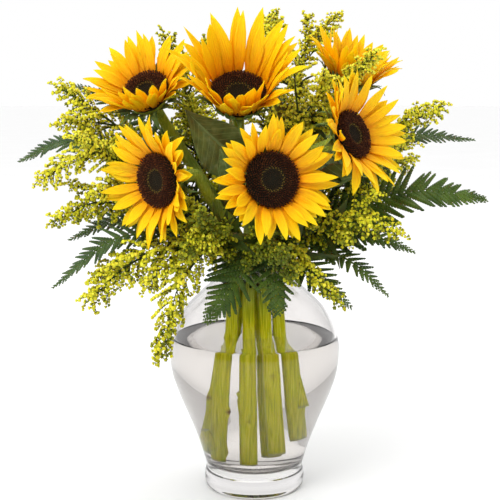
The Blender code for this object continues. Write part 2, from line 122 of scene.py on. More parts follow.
class Wire:
    """An output of a material's nodes. Sums on it add Math nodes, and node() adds any other kind."""

    def __init__(self, tree, socket=None):
        self.tree = tree
        self.socket = socket

    def node(self, kind, settings=None, sockets=None, output=0):
        made = self.tree.nodes.new("ShaderNode" + kind)
        for name, value in (settings or {}).items():
            if name == "stops":
                for i, (place, colour) in enumerate(value):
                    stop = made.color_ramp.elements[i] if i < 2 else made.color_ramp.elements.new(place)
                    stop.position, stop.color = place, (*colour, 1.0)
            else:
                setattr(made, name, value)
        for name, value in (sockets or {}).items():
            if isinstance(value, Wire):
                self.tree.links.new(value.socket, made.inputs[name])
            else:
                made.inputs[name].default_value = value
        return Wire(self.tree, made.outputs[output])

    def math(self, operation, *values):
        return self.node("Math", {"operation": operation}, dict(enumerate(values)))

    def through(self, operation, *others):
        """This value after a Math node, whose other inputs are the others."""
        return self.math(operation, self, *others)

    def __add__(self, other):
        return self.math("ADD", self, other)

    def __sub__(self, other):
        return self.math("SUBTRACT", self, other)

    def __rsub__(self, other):
        return self.math("SUBTRACT", other, self)

    def __mul__(self, other):
        return self.math("MULTIPLY", self, other)

    __radd__ = __add__
    __rmul__ = __mul__

    def ramp(self, *stops):
        """A colour that changes along the stops, each a place and a colour."""
        return self.node("ValToRGB", {"stops": stops}, {"Fac": self})

    def spread(self, low, high):
        """This value stretched from low..high to 0..1, and held there."""
        return self.node("MapRange", {}, {"Value": self, "From Min": low, "From Max": high})

    def blend(self, first, second):
        """The two colours, mixed by this value."""
        return self.node("Mix", {"data_type": "RGBA"}, {0: self, 6: first, 7: second}, output=2)

    def speckle(self, scale, detail=2.0):
        """Noise over the object's own coordinates."""
        place = self.node("TexCoord", output="Object")
        return self.node("TexNoise", {}, {"Vector": place, "Scale": scale, "Detail": detail})

    def read(self, attribute):
        """A value that the mesh holds at each point."""
        return self.node("Attribute", {"attribute_name": attribute}, output="Fac")


def finish_of(name, fixed, varying, bump=None, depth=0.2):
    """A Principled material. fixed and varying are its sockets, and bump is a height for its surface."""
    material = bpy.data.materials.new(name)
    material.use_nodes = True
    tree = material.node_tree
    shader = tree.nodes["Principled BSDF"]
    wire = Wire(tree)
    for socket, value in fixed.items():
        shader.inputs[socket].default_value = value
    for socket, make in varying.items():
        tree.links.new(make(wire).socket, shader.inputs[socket])
    if bump:
        normal = wire.node("Bump", {}, {"Height": bump(wire), "Strength": depth, "Distance": MM})
        tree.links.new(normal.socket, shader.inputs["Normal"])
    return material


def vase_outline():
    """The outline from the middle of the inner floor, up the inside, over the lip and down to the foot."""
    outside = [p * MM for p in smooth_line(VASE_OUTLINE, VASE_STEPS)]
    inside = []
    for below, here, above in zip(outside, outside[1:], outside[2:]):
        away = Vector((above.y - below.y, below.x - above.x)).normalized()
        if here.y > WALL_FROM:
            inside.append(here - away * VASE_WALL)
    floor = smooth_line([*FLOOR_LINE, inside[0]], VASE_STEPS)[:-1]
    rim, inner_rim = outside[-1], inside[-1]
    middle, across = (rim + inner_rim) / 2, (rim - inner_rim) / 2
    up = Vector((-across.y, across.x))
    angles = [math.pi * i / LIP_STEPS for i in range(1, LIP_STEPS)]
    lip = [middle + up * math.sin(angle) - across * math.cos(angle) for angle in angles]
    return [*floor, *inside, *lip, *reversed(outside), *FOOT_LINE]


glass = finish_of(
    "clear_glass",
    {"Base Color": (0.875, 0.86, 0.852, 1), "Transmission Weight": 1.0, "IOR": 1.5,
     "Specular Tint": (0.4, 0.4, 0.4, 1)},
    {"Roughness": lambda w: w.speckle(35.0).spread(0.35, 0.9) * 0.02},
    bump=lambda w: w.speckle(22.0, 1.0) * 0.6 + w.speckle(90.0) * 0.08, depth=0.05)
shape = bmesh.new()
turn(shape, vase_outline(), VASE_TURNS)
put(shape, "vase_glass", glass, "clear_glass", "vase")

# ---- Water --------------------------------------------------------------------------------------
# Still water up to just above the vase's widest part. It wets the glass, so its edge turns up in a
# small meniscus, and it lies a little inside the glass wall so that the two meet with no air film.

WATER_LEVEL = 144 * MM
MENISCUS = 1.2 * MM
MENISCUS_REACH = 5 * MM
MENISCUS_FADE = 1.1 * MM
MENISCUS_STEPS = 8
WETTED = 0.9 * MM  # how far the water's skin lies inside the glass


def water_outline():
    """The outline from the middle of the surface, out to the meniscus, and down inside the glass."""
    inside = [p for p in vase_outline()[VASE_STEPS + 1:] if p[1] > VASE_FLOOR]
    wall = []
    for p in inside:
        if p[1] > WATER_LEVEL + MENISCUS * 0.8:
            break
        wall.append(Vector((p[0] + WETTED, p[1] - WETTED * 0.3)))
    edge = wall[-1].x - WETTED
    top = []
    for i in range(MENISCUS_STEPS + 1):
        inward = MENISCUS_REACH * (1 - i / MENISCUS_STEPS) ** 2
        top.append((edge - inward, WATER_LEVEL + MENISCUS * math.exp(-inward / MENISCUS_FADE)))
    surface = [(0.0, WATER_LEVEL), (edge * 0.5, WATER_LEVEL), *top]
    return [*surface, *reversed(wall), (0.0, VASE_FLOOR - WETTED)]


def water_colour(w):
    return w.speckle(14.0, 1.0).ramp((0.3, (0.83, 0.815, 0.795)), (0.7, (0.87, 0.855, 0.83)))


clear_water = finish_of(
    "water",
    {"Transmission Weight": 1.0, "IOR": 1.33, "Roughness": 0.0, "Specular Tint": (0.3, 0.3, 0.3, 1)},
    {"Base Color": water_colour}, bump=lambda w: w.speckle(30.0, 1.0), depth=0.03)
shape = bmesh.new()
turn(shape, water_outline(), VASE_TURNS)
put(shape, "water_body", clear_water, "water", "water")

# ---- Sunflower stems ----------------------------------------------------------------------------
# Six thick green stems, each cut at its foot and stripped of the leaves that would stand in water. They
# are fluted and bristly, swell at each leaf scar, and widen into the green back of the flower head.

# looks is the way a face looks. petal and cup are the length and steepness of its petals. Those round the
# heading of a fold stand steeper by its second number and are shorter by its third. warm is how orange the
# petals are, and nodes are the heights and headings where leaves grew.
SUNFLOWERS = {  # millimetres and degrees; faces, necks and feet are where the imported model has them
    1: dict(face=(-96, -30, 371), looks=(-0.30, -0.73, 0.62), disc=21, petal=38, cup=40,
            fold=(-75, 44, 0.12), warm=0.2, neck=(-12, 8), foot=(-31.5, 10, 33),
            nodes=((92, 200), (252, 40), (306, 220))),
    2: dict(face=(-14, -47, 369), looks=(0.0, -0.74, 0.67), disc=24.5, petal=58, cup=64,
            fold=(-90, 6, 0.32), warm=0.15, neck=(4.2, 4.0), foot=(10.8, 15, 33),
            nodes=((96, 90), (262, 100), (285, 250))),
    3: dict(face=(-81, -88, 297), looks=(-0.68, -0.73, -0.06), disc=22.5, petal=36, cup=33,
            fold=(10, -4, 0.28), warm=0.15, neck=(-18.6, -6), foot=(-27.5, -9, 28),
            nodes=((42, 20), (84, 340), (140, 200), (238, 150))),
    4: dict(face=(14, -117, 300), looks=(0.34, -0.92, 0.19), disc=22.5, petal=35, cup=32,
            fold=(90, 6, 0.05), warm=0.25, neck=(-5.6, -11.5), foot=(-4, -6, 24.2),
            nodes=((78, 270), (92, 180), (238, 290))),
    5: dict(face=(82, -82, 335), looks=(0.72, -0.60, 0.35), disc=20, petal=38, cup=36,
            fold=(225, -6, 0.0), warm=0.2, neck=(7.6, -9.6), foot=(16, -4, 38),
            nodes=((112, 280), (236, 320), (290, 100))),
    6: dict(face=(86, 4, 386), looks=(0.36, -0.30, 0.88), disc=20, petal=40, cup=54,
            fold=(-90, 18, 0.1), warm=0.4, neck=(19.8, -3.6), foot=(30, 5, 51),
            nodes=((88, 350), (262, 300), (312, 200), (340, 20))),
}
NECK_Z = 203 * MM
STEM_FOOT_R = 6.3 * MM
STEM_TOP_R = 4.8 * MM
STEM_RISE = 16 * MM  # how far above the neck a stem starts to lean out
STEM_SIDES = 40
FLUTES = 10
FLUTE_DEPTH = 0.035
HEAD_NECK = 34 * MM  # the bent stretch of stem behind a head
RECEPTACLE_DEPTH = 12 * MM
LINE_STEPS = 14
BEND_STEPS = 4
NODE_SPREAD = 4.5  # millimetres above and below a leaf scar where the stem swells
NODE_SWELL, SCAR_SWELL = 0.06, 0.26  # all round, and more on the scar's side
WET_AND_PAINTED_BRIGHT_FADE = 45 * MM  # how far below the neck a stem takes on its full in-water colour: yellower, and painted brighter to stand for the light that the glass and water bring to it
RECEPTACLE = ((-7, 0.30), (-3.5, 0.50), (0, 0.74), (3, 0.88), (5.6, 0.93), (7.6, 0.88))  # height, disc share
STUBS = {  # a side twig cut short: height, heading, length, root and end radii, and how steep it stands
    3: (42, 190, 24, 4.6, 4.2, 1.4),
    4: (92, 190, 8, 3.4, 1.8, 0.7),
    6: (124, 350, 36, 2.6, 4.3, -3.0),
}
STUB_STEPS = 5


def distances(line):
    """How far along a line each of its points is."""
    along = [0.0]
    for a, b in zip(line, line[1:]):
        along.append(along[-1] + (b - a).length)
    return along


def between(table, at):
    """The value at a place in a table of (place, value) pairs."""
    for (a, low), (b, high) in zip(table, table[1:]):
        if at <= b:
            return low + (high - low) * max(0.0, at - a) / (b - a)
    return table[-1][1]


def outward(heading):
    """The level direction at a heading, in radians."""
    return Vector((math.cos(heading), math.sin(heading), 0))


def placed(place, x, y, z):
    """The placement at a place with these three directions as its own axes."""
    return Matrix.Translation(place) @ Matrix((x, y, z)).transposed().to_4x4()


def facing(flower):
    """The placement of a flower face: local Z is the way it looks, and local Y is its upper side."""
    z = Vector(flower["looks"]).normalized()
    x = Vector((0, 0, 1)).cross(z).normalized()
    return placed(Vector(flower["face"]) * MM, x, z.cross(x), z)


def frames_along(path, first):
    """A placement at each point: local Z is the way ahead, and X stays as near to first as it can."""
    frames = []
    across = Vector(first)
    for i, place in enumerate(path):
        ahead = (path[min(i + 1, len(path) - 1)] - path[max(i - 1, 0)]).normalized()
        across = (across - ahead * across.dot(ahead)).normalized()
        frames.append(placed(place, across, ahead.cross(across), ahead))
    return frames


def new_shape(*marks):
    """An empty shape, and a layer for each of the marks that its points hold."""
    shape = bmesh.new()
    for mark in marks:
        shape.verts.layers.float.new(mark)
    return shape, *(shape.verts.layers.float[mark] for mark in marks)


def sweep(shape, path, radii, sides, first=(1, 0, 0), flute=0.0):
    """A closed tube: one circle, extruded from point to point. Returns its rings of points."""
    frames = [way @ Matrix.Diagonal((r, r, 1, 1)) for way, r in zip(frames_along(path, first), radii)]
    ring = bmesh.ops.create_circle(shape, cap_ends=False, segments=sides, radius=1.0)["verts"]
    for corner in ring:
        corner.co *= 1 + flute * math.cos(FLUTES * math.atan2(corner.co.y, corner.co.x))
    bmesh.ops.transform(shape, matrix=frames[0], verts=ring)
    edges = list({edge for corner in ring for edge in corner.link_edges})
    bmesh.ops.edgeloop_fill(shape, edges=edges)
    rings = [ring]
    for before, here in zip(frames, frames[1:]):
        grown = bmesh.ops.extrude_edge_only(shape, edges=edges)["geom"]
        ring = [part for part in grown if isinstance(part, bmesh.types.BMVert)]
        fresh = set(ring)
        edges = [part for part in grown if isinstance(part, bmesh.types.BMEdge)
                 and part.verts[0] in fresh and part.verts[1] in fresh]
        bmesh.ops.transform(shape, matrix=here @ before.inverted(), verts=ring)
        rings.append(ring)
    bmesh.ops.edgeloop_fill(shape, edges=edges)
    return rings


def blade(shape, rows, columns, form):
    """A grid bent to a leaf or petal. form gives a point from how far along it is and how far across."""
    corners = []
    for corner in bmesh.ops.create_grid(shape, x_segments=columns, y_segments=rows, size=1.0)["verts"]:
        along, across = (corner.co.y + 1) / 2, corner.co.x
        corner.co = form(along, across)
        corners.append((corner, along, across))
    return corners


def thicken(shape, thickness):
    """Gives an open sheet its thickness, and turns its faces outwards."""
    bmesh.ops.solidify(shape, geom=shape.faces, thickness=thickness)
    bmesh.ops.recalc_face_normals(shape, faces=shape.faces)


def sunflower_line(flower):
    """A stem's way from its foot in the water to the back of its head."""
    looks = Vector(flower["looks"]).normalized()
    foot = Vector(flower["foot"]) * MM
    neck = Vector((flower["neck"][0] * MM, flower["neck"][1] * MM, NECK_Z))
    rise = neck + (neck - foot) * 0.06 + Vector((0, 0, STEM_RISE))
    head = Vector(flower["face"]) * MM - looks * (RECEPTACLE_DEPTH + HEAD_NECK)
    return smooth_line([foot, foot.lerp(neck, 0.5), neck, rise, head], LINE_STEPS)


def make_stem(number, flower):
    """A fluted stem with its leaf scars, its stub of a side twig, and the receptacle at its top."""
    looks = Vector(flower["looks"]).normalized()
    back = Vector(flower["face"]) * MM - looks * RECEPTACLE_DEPTH
    line = sunflower_line(flower)
    radii = [STEM_FOOT_R + (STEM_TOP_R - STEM_FOOT_R) * i / (len(line) - 1) for i in range(len(line))]
    radii[0] *= 0.97
    bend = [line[-2], line[-1], back - looks * HEAD_NECK * 0.4, back - looks * 9 * MM]
    for place in smooth_line(bend, BEND_STEPS)[BEND_STEPS + 1:-1]:
        line.append(place)
        radii.append(STEM_TOP_R)
    for height, share in RECEPTACLE:
        line.append(back + looks * height * MM)
        radii.append(share * flower["disc"] * MM)
    shape, scar, cut, wet_and_painted_bright = new_shape("scar", "cut", "wet_and_painted_bright")
    rings = sweep(shape, line, radii, STEM_SIDES, flute=FLUTE_DEPTH)
    for corner in rings[0]:
        corner[cut] = 1.0
    for middle, ring in zip(line, rings):
        for height, heading in flower["nodes"]:
            near = math.exp(-((middle.z / MM - height) / NODE_SPREAD) ** 2)
            if near < 0.02:
                continue
            towards = outward(math.radians(heading))
            for corner in ring:
                out = corner.co - middle
                side = max(0.0, out.normalized().dot(towards)) ** 3
                corner.co += out * near * (NODE_SWELL + SCAR_SWELL * side)
                corner[scar] = max(corner[scar], near ** 2 * side)
    if number in STUBS:
        height, heading, length, root_r, end_r, steep = STUBS[number]
        start = min(line, key=lambda p: abs(p.z - height * MM))
        out = outward(math.radians(heading))
        lean = (out * 0.6 + Vector((0, 0, steep))).normalized()
        steps = range(STUB_STEPS + 1)
        path = [start + out * 2 * MM + lean * length * MM * i / STUB_STEPS for i in steps]
        thick = [(root_r + (end_r - root_r) * i / STUB_STEPS) * MM for i in steps]
        for corner in sweep(shape, path, thick, 20, flute=0.03)[-1]:
            corner[cut] = 0.8
    # The in-water mask: where the stems are wet, and where they are painted brighter for the light they get
    # through the glass and water.
    for corner in shape.verts:
        corner[wet_and_painted_bright] = min(1.0, max(0.0, (NECK_Z - corner.co.z) / WET_AND_PAINTED_BRIGHT_FADE))
    bmesh.ops.recalc_face_normals(shape, faces=shape.faces)
    put(shape, f"stem_{number}", stem_green, "sunflower_stem", f"sunflower_stem_{number}")


def stem_colour(w):
    """Lengthwise fibres, green when dry and yellower in the water, with pale patches, bristles and scars. In
    the water they are also painted much brighter: painted light for what the glass and water bring there.
    """
    streaks = w.node("Mapping", {}, {"Vector": w.node("TexCoord", output="Object"), "Scale": (900, 900, 30)})
    fibre = w.node("TexNoise", {}, {"Vector": streaks, "Scale": 1.0, "Detail": 3.0})
    dry = fibre.ramp((0.25, (0.12, 0.19, 0.02)), (0.5, (0.24, 0.31, 0.045)), (0.75, (0.42, 0.48, 0.12)))
    # The in-water colour is partly painted light: near full brightness, it stands in for the light that
    # reaches the stems through the glass and water.
    soaked_and_painted_bright = fibre.ramp((0.25, (0.32, 0.37, 0.0)), (0.5, (0.72, 0.72, 0.0)), (0.75, (0.98, 0.94, 0.10)))
    green = w.read("wet_and_painted_bright").blend(dry, soaked_and_painted_bright)
    patches = w.speckle(45.0).spread(0.45, 0.75) * 0.5
    paler = patches.blend(green, (0.72, 0.66, 0.01, 1))
    dots = w.speckle(900.0, 1.0).spread(0.66, 0.76) * w.speckle(60.0, 1.0).spread(0.45, 0.6) * 0.7
    bristly = dots.blend(paler, (0.16, 0.12, 0.03, 1))
    scarred = w.read("scar").spread(0.35, 0.8).blend(bristly, (0.20, 0.10, 0.035, 1))
    return w.read("cut").spread(0.5, 1.0).blend(scarred, (0.55, 0.56, 0.26, 1))


stem_green = finish_of(
    "stem_green", {"Specular IOR Level": 0.12, "Subsurface Weight": 0.15, "Subsurface Scale": 0.004},
    {"Base Color": stem_colour, "Roughness": lambda w: w.speckle(160.0).spread(0.3, 0.8) * 0.25 + 0.35},
    bump=lambda w: w.speckle(1400.0, 1.0) * 0.5 + w.speckle(120.0) * 0.5, depth=0.3)
for number, flower in SUNFLOWERS.items():
    make_stem(number, flower)

# ---- Bracts -------------------------------------------------------------------------------------
# Two rings of green pointed bracts close the back of each head. They are stiff and hairy, and their
# tips curl away from the petals.

BRACT_ROWS = ((0.0, 14, 17), (0.5, 14, 20))  # offset, how many, millimetres long
BRACT_HALF = ((0, 0.8), (0.25, 1.0), (0.6, 0.6), (0.85, 0.2), (1, 0.03))
BRACT_SLIMNESS = 0.15  # half its width over its length
BRACT_T = 0.5 * MM


def make_bracts(number, flower):
    dice = random.Random(100 + number)
    shape = bmesh.new()
    rim = flower["disc"] * MM
    for offset, count, long in BRACT_ROWS:
        for i in range(count):
            angle = 2 * math.pi * (i + offset + dice.uniform(-0.15, 0.15)) / count
            out = outward(angle)
            aside = Vector((-out.y, out.x, 0))
            length = long * MM * dice.uniform(0.8, 1.15)
            lean = math.radians(flower["cup"] + 4 - 10 * offset + dice.uniform(-10, 8))
            curl = math.radians(dice.choice((10, 25, 40, 110)) * dice.uniform(0.6, 1.2))
            bend = dice.uniform(-0.16, 0.16)

            def form(along, across):
                steep = (lean + (lean - curl * along ** 2)) / 2
                ahead = out * math.cos(steep) + Vector((0, 0, math.sin(steep)))
                half = length * BRACT_SLIMNESS * between(BRACT_HALF, along)
                lift = Vector((0, 0, -0.25 * half * (1 - across * across)))
                root = out * (rim * 0.94) + Vector((0, 0, -7.4 * MM - 1.3 * MM * offset))
                return (root + ahead * (length * along)
                        + aside * (half * across + bend * length * along * along) + lift)

            blade(shape, 7, 4, form)
    thicken(shape, BRACT_T)
    bmesh.ops.transform(shape, matrix=facing(flower), verts=shape.verts)
    put(shape, f"bracts_{number}", bract_green, "sunflower_stem", f"sunflower_stem_{number}")


def bract_colour(w):
    return w.speckle(260.0, 3.0).ramp((0.3, (0.06, 0.12, 0.02)), (0.7, (0.17, 0.25, 0.06)))


bract_green = finish_of(
    "bract_green", {"Subsurface Weight": 0.1, "Subsurface Scale": 0.002},
    {"Base Color": bract_colour, "Roughness": lambda w: w.speckle(90.0) * 0.3 + 0.45},
    bump=lambda w: w.speckle(1200.0), depth=0.5)
for number, flower in SUNFLOWERS.items():
    make_bracts(number, flower)

# ---- Ray petals ---------------------------------------------------------------------------------
# Two to three overlapping rows of ray petals grow from the rim of each disc. Each is a thin pleated
# tongue, orange at its root and clear yellow towards its pointed tip, and no two lie alike.

PETAL_ROWS = (  # count, offset, length, lean
    (17, 0.0, 1.0, 4.0), (17, 0.5, 1.03, -6.0), (13, 0.27, 0.9, -14.0),
)
PETAL_HALF = ((0, 0.34), (0.12, 0.62), (0.3, 0.92), (0.5, 1.0), (0.68, 0.88), (0.83, 0.58), (0.94, 0.25),
              (1, 0.03))
PETAL_T = 0.35 * MM
PETAL_STEPS = 12
PETAL_ROOT_IN = 0.4 * MM  # how far a petal's root reaches in under the disc's rim
PETAL_ROOT_Z = -1.6 * MM
ROW_DROP = 0.35 * MM  # how much lower each row's roots lie than those of the row before
PLEAT = 0.26 * MM
RIPPLE = 0.5 * MM


def make_petals(number, flower):
    """All the petals of one head. Those round the heading of its fold stand steeper and are shorter."""
    dice = random.Random(200 + number)
    shape, along_of, across_of, tint_of, warm_of = new_shape("along", "across", "tint", "warm")
    root = flower["disc"] * MM - PETAL_ROOT_IN
    fold_at, fold_by, fold_short = flower["fold"]
    for count, offset, long, droop in PETAL_ROWS:
        for i in range(count):
            angle = 2 * math.pi * (i + offset + dice.uniform(-0.22, 0.22)) / count
            fold_share = max(0.0, math.cos(angle - math.radians(fold_at))) ** 2
            folded = fold_share * fold_by
            lean = flower["cup"] * 1.12 + folded + droop + dice.gauss(0, 5)
            opening = flower["cup"] * 0.30 + dice.gauss(0, 9) - folded * 0.35
            tip_curl = dice.choice((-1, 1, 1)) * dice.uniform(4, 26)
            length = flower["petal"] * MM * long * dice.uniform(0.84, 1.04) * (1 - fold_share * fold_short)
            half = (3.3 + 0.04 * flower["petal"]) * MM * dice.uniform(0.84, 1.14)
            twist = math.radians(dice.gauss(0, 13))
            sway = dice.gauss(0, 0.07)
            hollow = dice.uniform(0.10, 0.5)
            tint = dice.random()
            warm = min(1.0, flower["warm"] * dice.uniform(0.6, 1.5))
            spine = [Vector((root, 0, PETAL_ROOT_Z - ROW_DROP * (droop < 0) - ROW_DROP * (droop < -10)))]
            slopes = []
            for step in range(PETAL_STEPS + 1):
                t = step / PETAL_STEPS
                slope = math.radians(lean - opening * t + tip_curl * t ** 4)
                slopes.append(slope)
                ahead = Vector((math.cos(slope), 0, math.sin(slope)))
                spine.append(spine[-1] + ahead * length / PETAL_STEPS)
            spin = Matrix.Rotation(angle, 3, "Z")

            def form(along, across):
                step = min(int(along * PETAL_STEPS + 0.5), PETAL_STEPS)
                slope = slopes[step]
                normal = Vector((-math.sin(slope), 0, math.cos(slope)))
                wide = half * between(PETAL_HALF, along)
                turned = twist * along
                pleat = PLEAT * math.cos(3 * math.pi * across) * min(1, 5 * along) * (1 - along ** 3)
                aside = Vector((0, math.cos(turned), 0)) + normal * math.sin(turned)
                rise = hollow * wide * across * across + pleat
                ripple = RIPPLE * math.sin(9 * along + tint * 7) * across * abs(across)
                swayed = Vector((0, sway * length * along * along, 0))
                return spin @ (spine[step] + swayed + aside * wide * across + normal * (rise + ripple))

            for corner, along, across in blade(shape, PETAL_STEPS, 6, form):
                corner[along_of] = along
                corner[across_of] = across
                corner[tint_of] = tint
                corner[warm_of] = warm
    thicken(shape, PETAL_T)
    bmesh.ops.transform(shape, matrix=facing(flower), verts=shape.verts)
    put(shape, f"ray_petals_{number}", petal_yellow, "ray_petals", f"petals_{number}")


def petal_colour(w):
    """Orange at the root and yellow at the tip, with fine veins. A warm petal is more orange all over."""
    along, across = w.read("along"), w.read("across")
    wavy = along + (w.speckle(300.0) - 0.5) * 0.22
    clear = wavy.ramp((0.02, (0.80, 0.19, 0.001)), (0.24, (0.97, 0.40, 0.001)),
                      (0.5, (1.0, 0.54, 0.001)), (1.0, (1.0, 0.66, 0.004)))
    orange = wavy.ramp((0.02, (0.70, 0.14, 0.001)), (0.3, (0.96, 0.33, 0.001)),
                       (0.7, (1.0, 0.46, 0.001)), (1.0, (1.0, 0.55, 0.002)))
    yellow = w.read("warm").blend(clear, orange)
    veins = (across * 15.0).through("SINE").spread(0.2, 1.0) * 0.34
    veined = veins.blend(yellow, (0.90, 0.34, 0.0, 1))
    pale = w.read("tint").spread(0.3, 1.0) * along.spread(0.3, 1.0) * 0.45
    return pale.blend(veined, (1.0, 0.70, 0.01, 1))


petal_yellow = finish_of(
    "petal_yellow", {"Subsurface Weight": 0.35, "Subsurface Scale": 0.003,
                     "Subsurface Radius": (1.0, 0.6, 0.1), "Specular IOR Level": 0.2},
    {"Base Color": petal_colour, "Roughness": lambda w: w.speckle(240.0) * 0.2 + 0.45},
    bump=lambda w: (w.read("across") * 22.0).through("SINE") * 0.6 + w.speckle(700.0) * 0.4, depth=0.22)
for number, flower in SUNFLOWERS.items():
    make_petals(number, flower)

# ---- Disc florets -------------------------------------------------------------------------------
# The dark middle is a low dome set with hundreds of florets in crossing spirals: closed greenish-black
# buds at the centre, a thin olive ring, and open maroon-brown florets that stand up round the rim.

DOME = ((0, 2.2), (0.30, 1.8), (0.45, 2.5), (0.60, 3.4), (0.86, 2.9), (0.97, 1.4), (1.0, 0.4))
DISC_BACK = -6 * MM  # the dome's flat underside, inside the receptacle
DISC_SIDES = 40
FLORETS = 520
BUD_SHARE = 0.47  # of the disc's radius, inside which the florets are still closed
GOLDEN_ANGLE = math.pi * (3 - 5 ** 0.5)


def floret_part(name, waist, crown, tall, spread):
    """One floret: a five-sided tube, whose crown rises to a point or sinks by the spread."""
    shape, tip, _ = new_shape("tip", "out")
    bmesh.ops.create_cone(shape, cap_ends=True, segments=5, radius1=waist, radius2=crown, depth=tall)
    bmesh.ops.translate(shape, vec=(0, 0, tall / 2), verts=shape.verts)
    top = [face for face in shape.faces if face.normal.z > 0.9]
    point = bmesh.ops.poke(shape, faces=top, offset=spread)["verts"]
    for corner in shape.verts:
        corner[tip] = max(0.0, corner.co.z / (tall + spread))
    for corner in point:
        corner[tip] = 1.0
    return mesh_of(shape, name)


def scatter(shape, part, places, mark):
    """Adds a copy of a small mesh at each place, with its own value of the mark."""
    for place, value in places:
        copy = part.copy()
        copy.transform(place)
        copy.attributes[mark].data.foreach_set("value", [value] * len(copy.vertices))
        shape.from_mesh(copy)
        bpy.data.meshes.remove(copy)


def make_disc(number, flower):
    dice = random.Random(300 + number)
    radius = flower["disc"] * MM
    shape, _, _ = new_shape("tip", "out")
    outline = [(radius * share, height * MM) for share, height in DOME]
    turn(shape, [(0.0, DISC_BACK), (radius * 0.9, DISC_BACK), *reversed(outline)], DISC_SIDES)
    buds, opened = [], []
    for i in range(FLORETS):
        share = math.sqrt((i + 0.5) / FLORETS)
        angle = i * GOLDEN_ANGLE
        out = outward(angle)
        place = out * radius * share * 0.985 + Vector((0, 0, (between(DOME, share) - 0.25) * MM))
        wobble = Vector((dice.gauss(0, 0.10), dice.gauss(0, 0.10), 0))
        lean = Vector((0, 0, 1)) + out * (share ** 3 * 0.75) + wobble
        turned = lean.to_track_quat("Z", "Y").to_matrix().to_4x4()
        if share < BUD_SHARE:
            tall = (0.55 + 0.75 * share) * dice.uniform(0.85, 1.1)
        else:
            tall = (0.8 + 0.5 * min(1, (share - BUD_SHARE) * 4)) * dice.uniform(0.75, 1.25)
        kind = buds if share < BUD_SHARE else opened
        kind.append((Matrix.Translation(place) @ turned @ Matrix.Diagonal((1, 1, tall, 1)), share))
    scatter(shape, bud, buds, "out")
    scatter(shape, open_floret, opened, "out")
    bmesh.ops.transform(shape, matrix=facing(flower), verts=shape.verts)
    put(shape, f"disc_florets_{number}", disc_brown, "disc_florets", f"disc_{number}")


def disc_colour(w):
    out = w.read("out")
    base = (out + (w.speckle(200.0) - 0.5) * 0.06).ramp(
        (0.0, (0.009, 0.009, 0.004)), (0.38, (0.012, 0.009, 0.004)), (0.435, (0.16, 0.11, 0.02)),
        (0.48, (0.040, 0.009, 0.003)), (0.85, (0.038, 0.007, 0.003)), (1.0, (0.060, 0.014, 0.003)))
    tips = w.read("tip").spread(0.75, 1.0) * w.speckle(500.0).spread(0.45, 0.7) * 0.7
    return tips.blend(base, (0.18, 0.06, 0.014, 1))


disc_brown = finish_of(
    "disc_brown", {"Specular IOR Level": 0.15, "Sheen Weight": 0.1, "Sheen Tint": (0.6, 0.3, 0.2, 1)},
    {"Base Color": disc_colour, "Roughness": lambda w: w.speckle(400.0) * 0.2 + 0.65},
    bump=lambda w: w.speckle(1500.0), depth=0.4)
bud = floret_part("bud", 0.85 * MM, 0.72 * MM, 0.8 * MM, 0.55 * MM)
open_floret = floret_part("open_floret", 0.42 * MM, 0.66 * MM, 2.0 * MM, -0.7 * MM)
for number, flower in SUNFLOWERS.items():
    make_disc(number, flower)

# ---- Sunflower leaves ---------------------------------------------------------------------------
# A few broad heart-shaped leaves are left on the stems under the heads. They are thin, rough and
# toothed, with sunken pale veins, and each has a long stalk that runs on under the blade as its rib.

LEAVES = {  # the stem and height each grows from, its tip, the way it faces, its width, and any rise
    "centre_left": dict(stem=2, height=285, tip=(-60, -38, 340), face=(-0.2, -1.0, 0.1), width=50, rise=14),
    "centre_top": dict(stem=6, height=312, tip=(18, -34, 350), face=(-0.1, -1.0, 0.3), width=46, rise=11),
    "centre": dict(stem=2, height=262, tip=(-30, -62, 318), face=(-0.3, -1.0, 0.2), width=34),
    "right": dict(stem=6, height=262, tip=(114, -40, 303), face=(0.3, -0.6, 0.8), width=36),
    "back": dict(stem=2, height=262, tip=(-24, 88, 350), face=(-0.1, 0.8, 0.5), width=44),
    "back_right": dict(stem=6, height=285, tip=(90, 80, 368), face=(0.4, 0.7, 0.5), width=46),
}
LEAF_HALF = ((0, 0.10), (0.05, 0.55), (0.13, 0.86), (0.25, 1.0), (0.42, 0.93), (0.6, 0.70), (0.78, 0.40),
             (0.92, 0.14), (1, 0.01))
STALK_SHARE = 0.20  # of a leaf's whole length
LEAF_VEINS = 9
VEIN_SLANT = 0.22
LEAF_TEETH = 23
TOOTH = 0.7 * MM
QUILT = 0.45 * MM
RUFFLE = 2.2 * MM
LEAF_T = 0.45 * MM
RIB_STEPS = 16
RIB_IN = 0.7  # millimetres from the blade back to the rib's middle


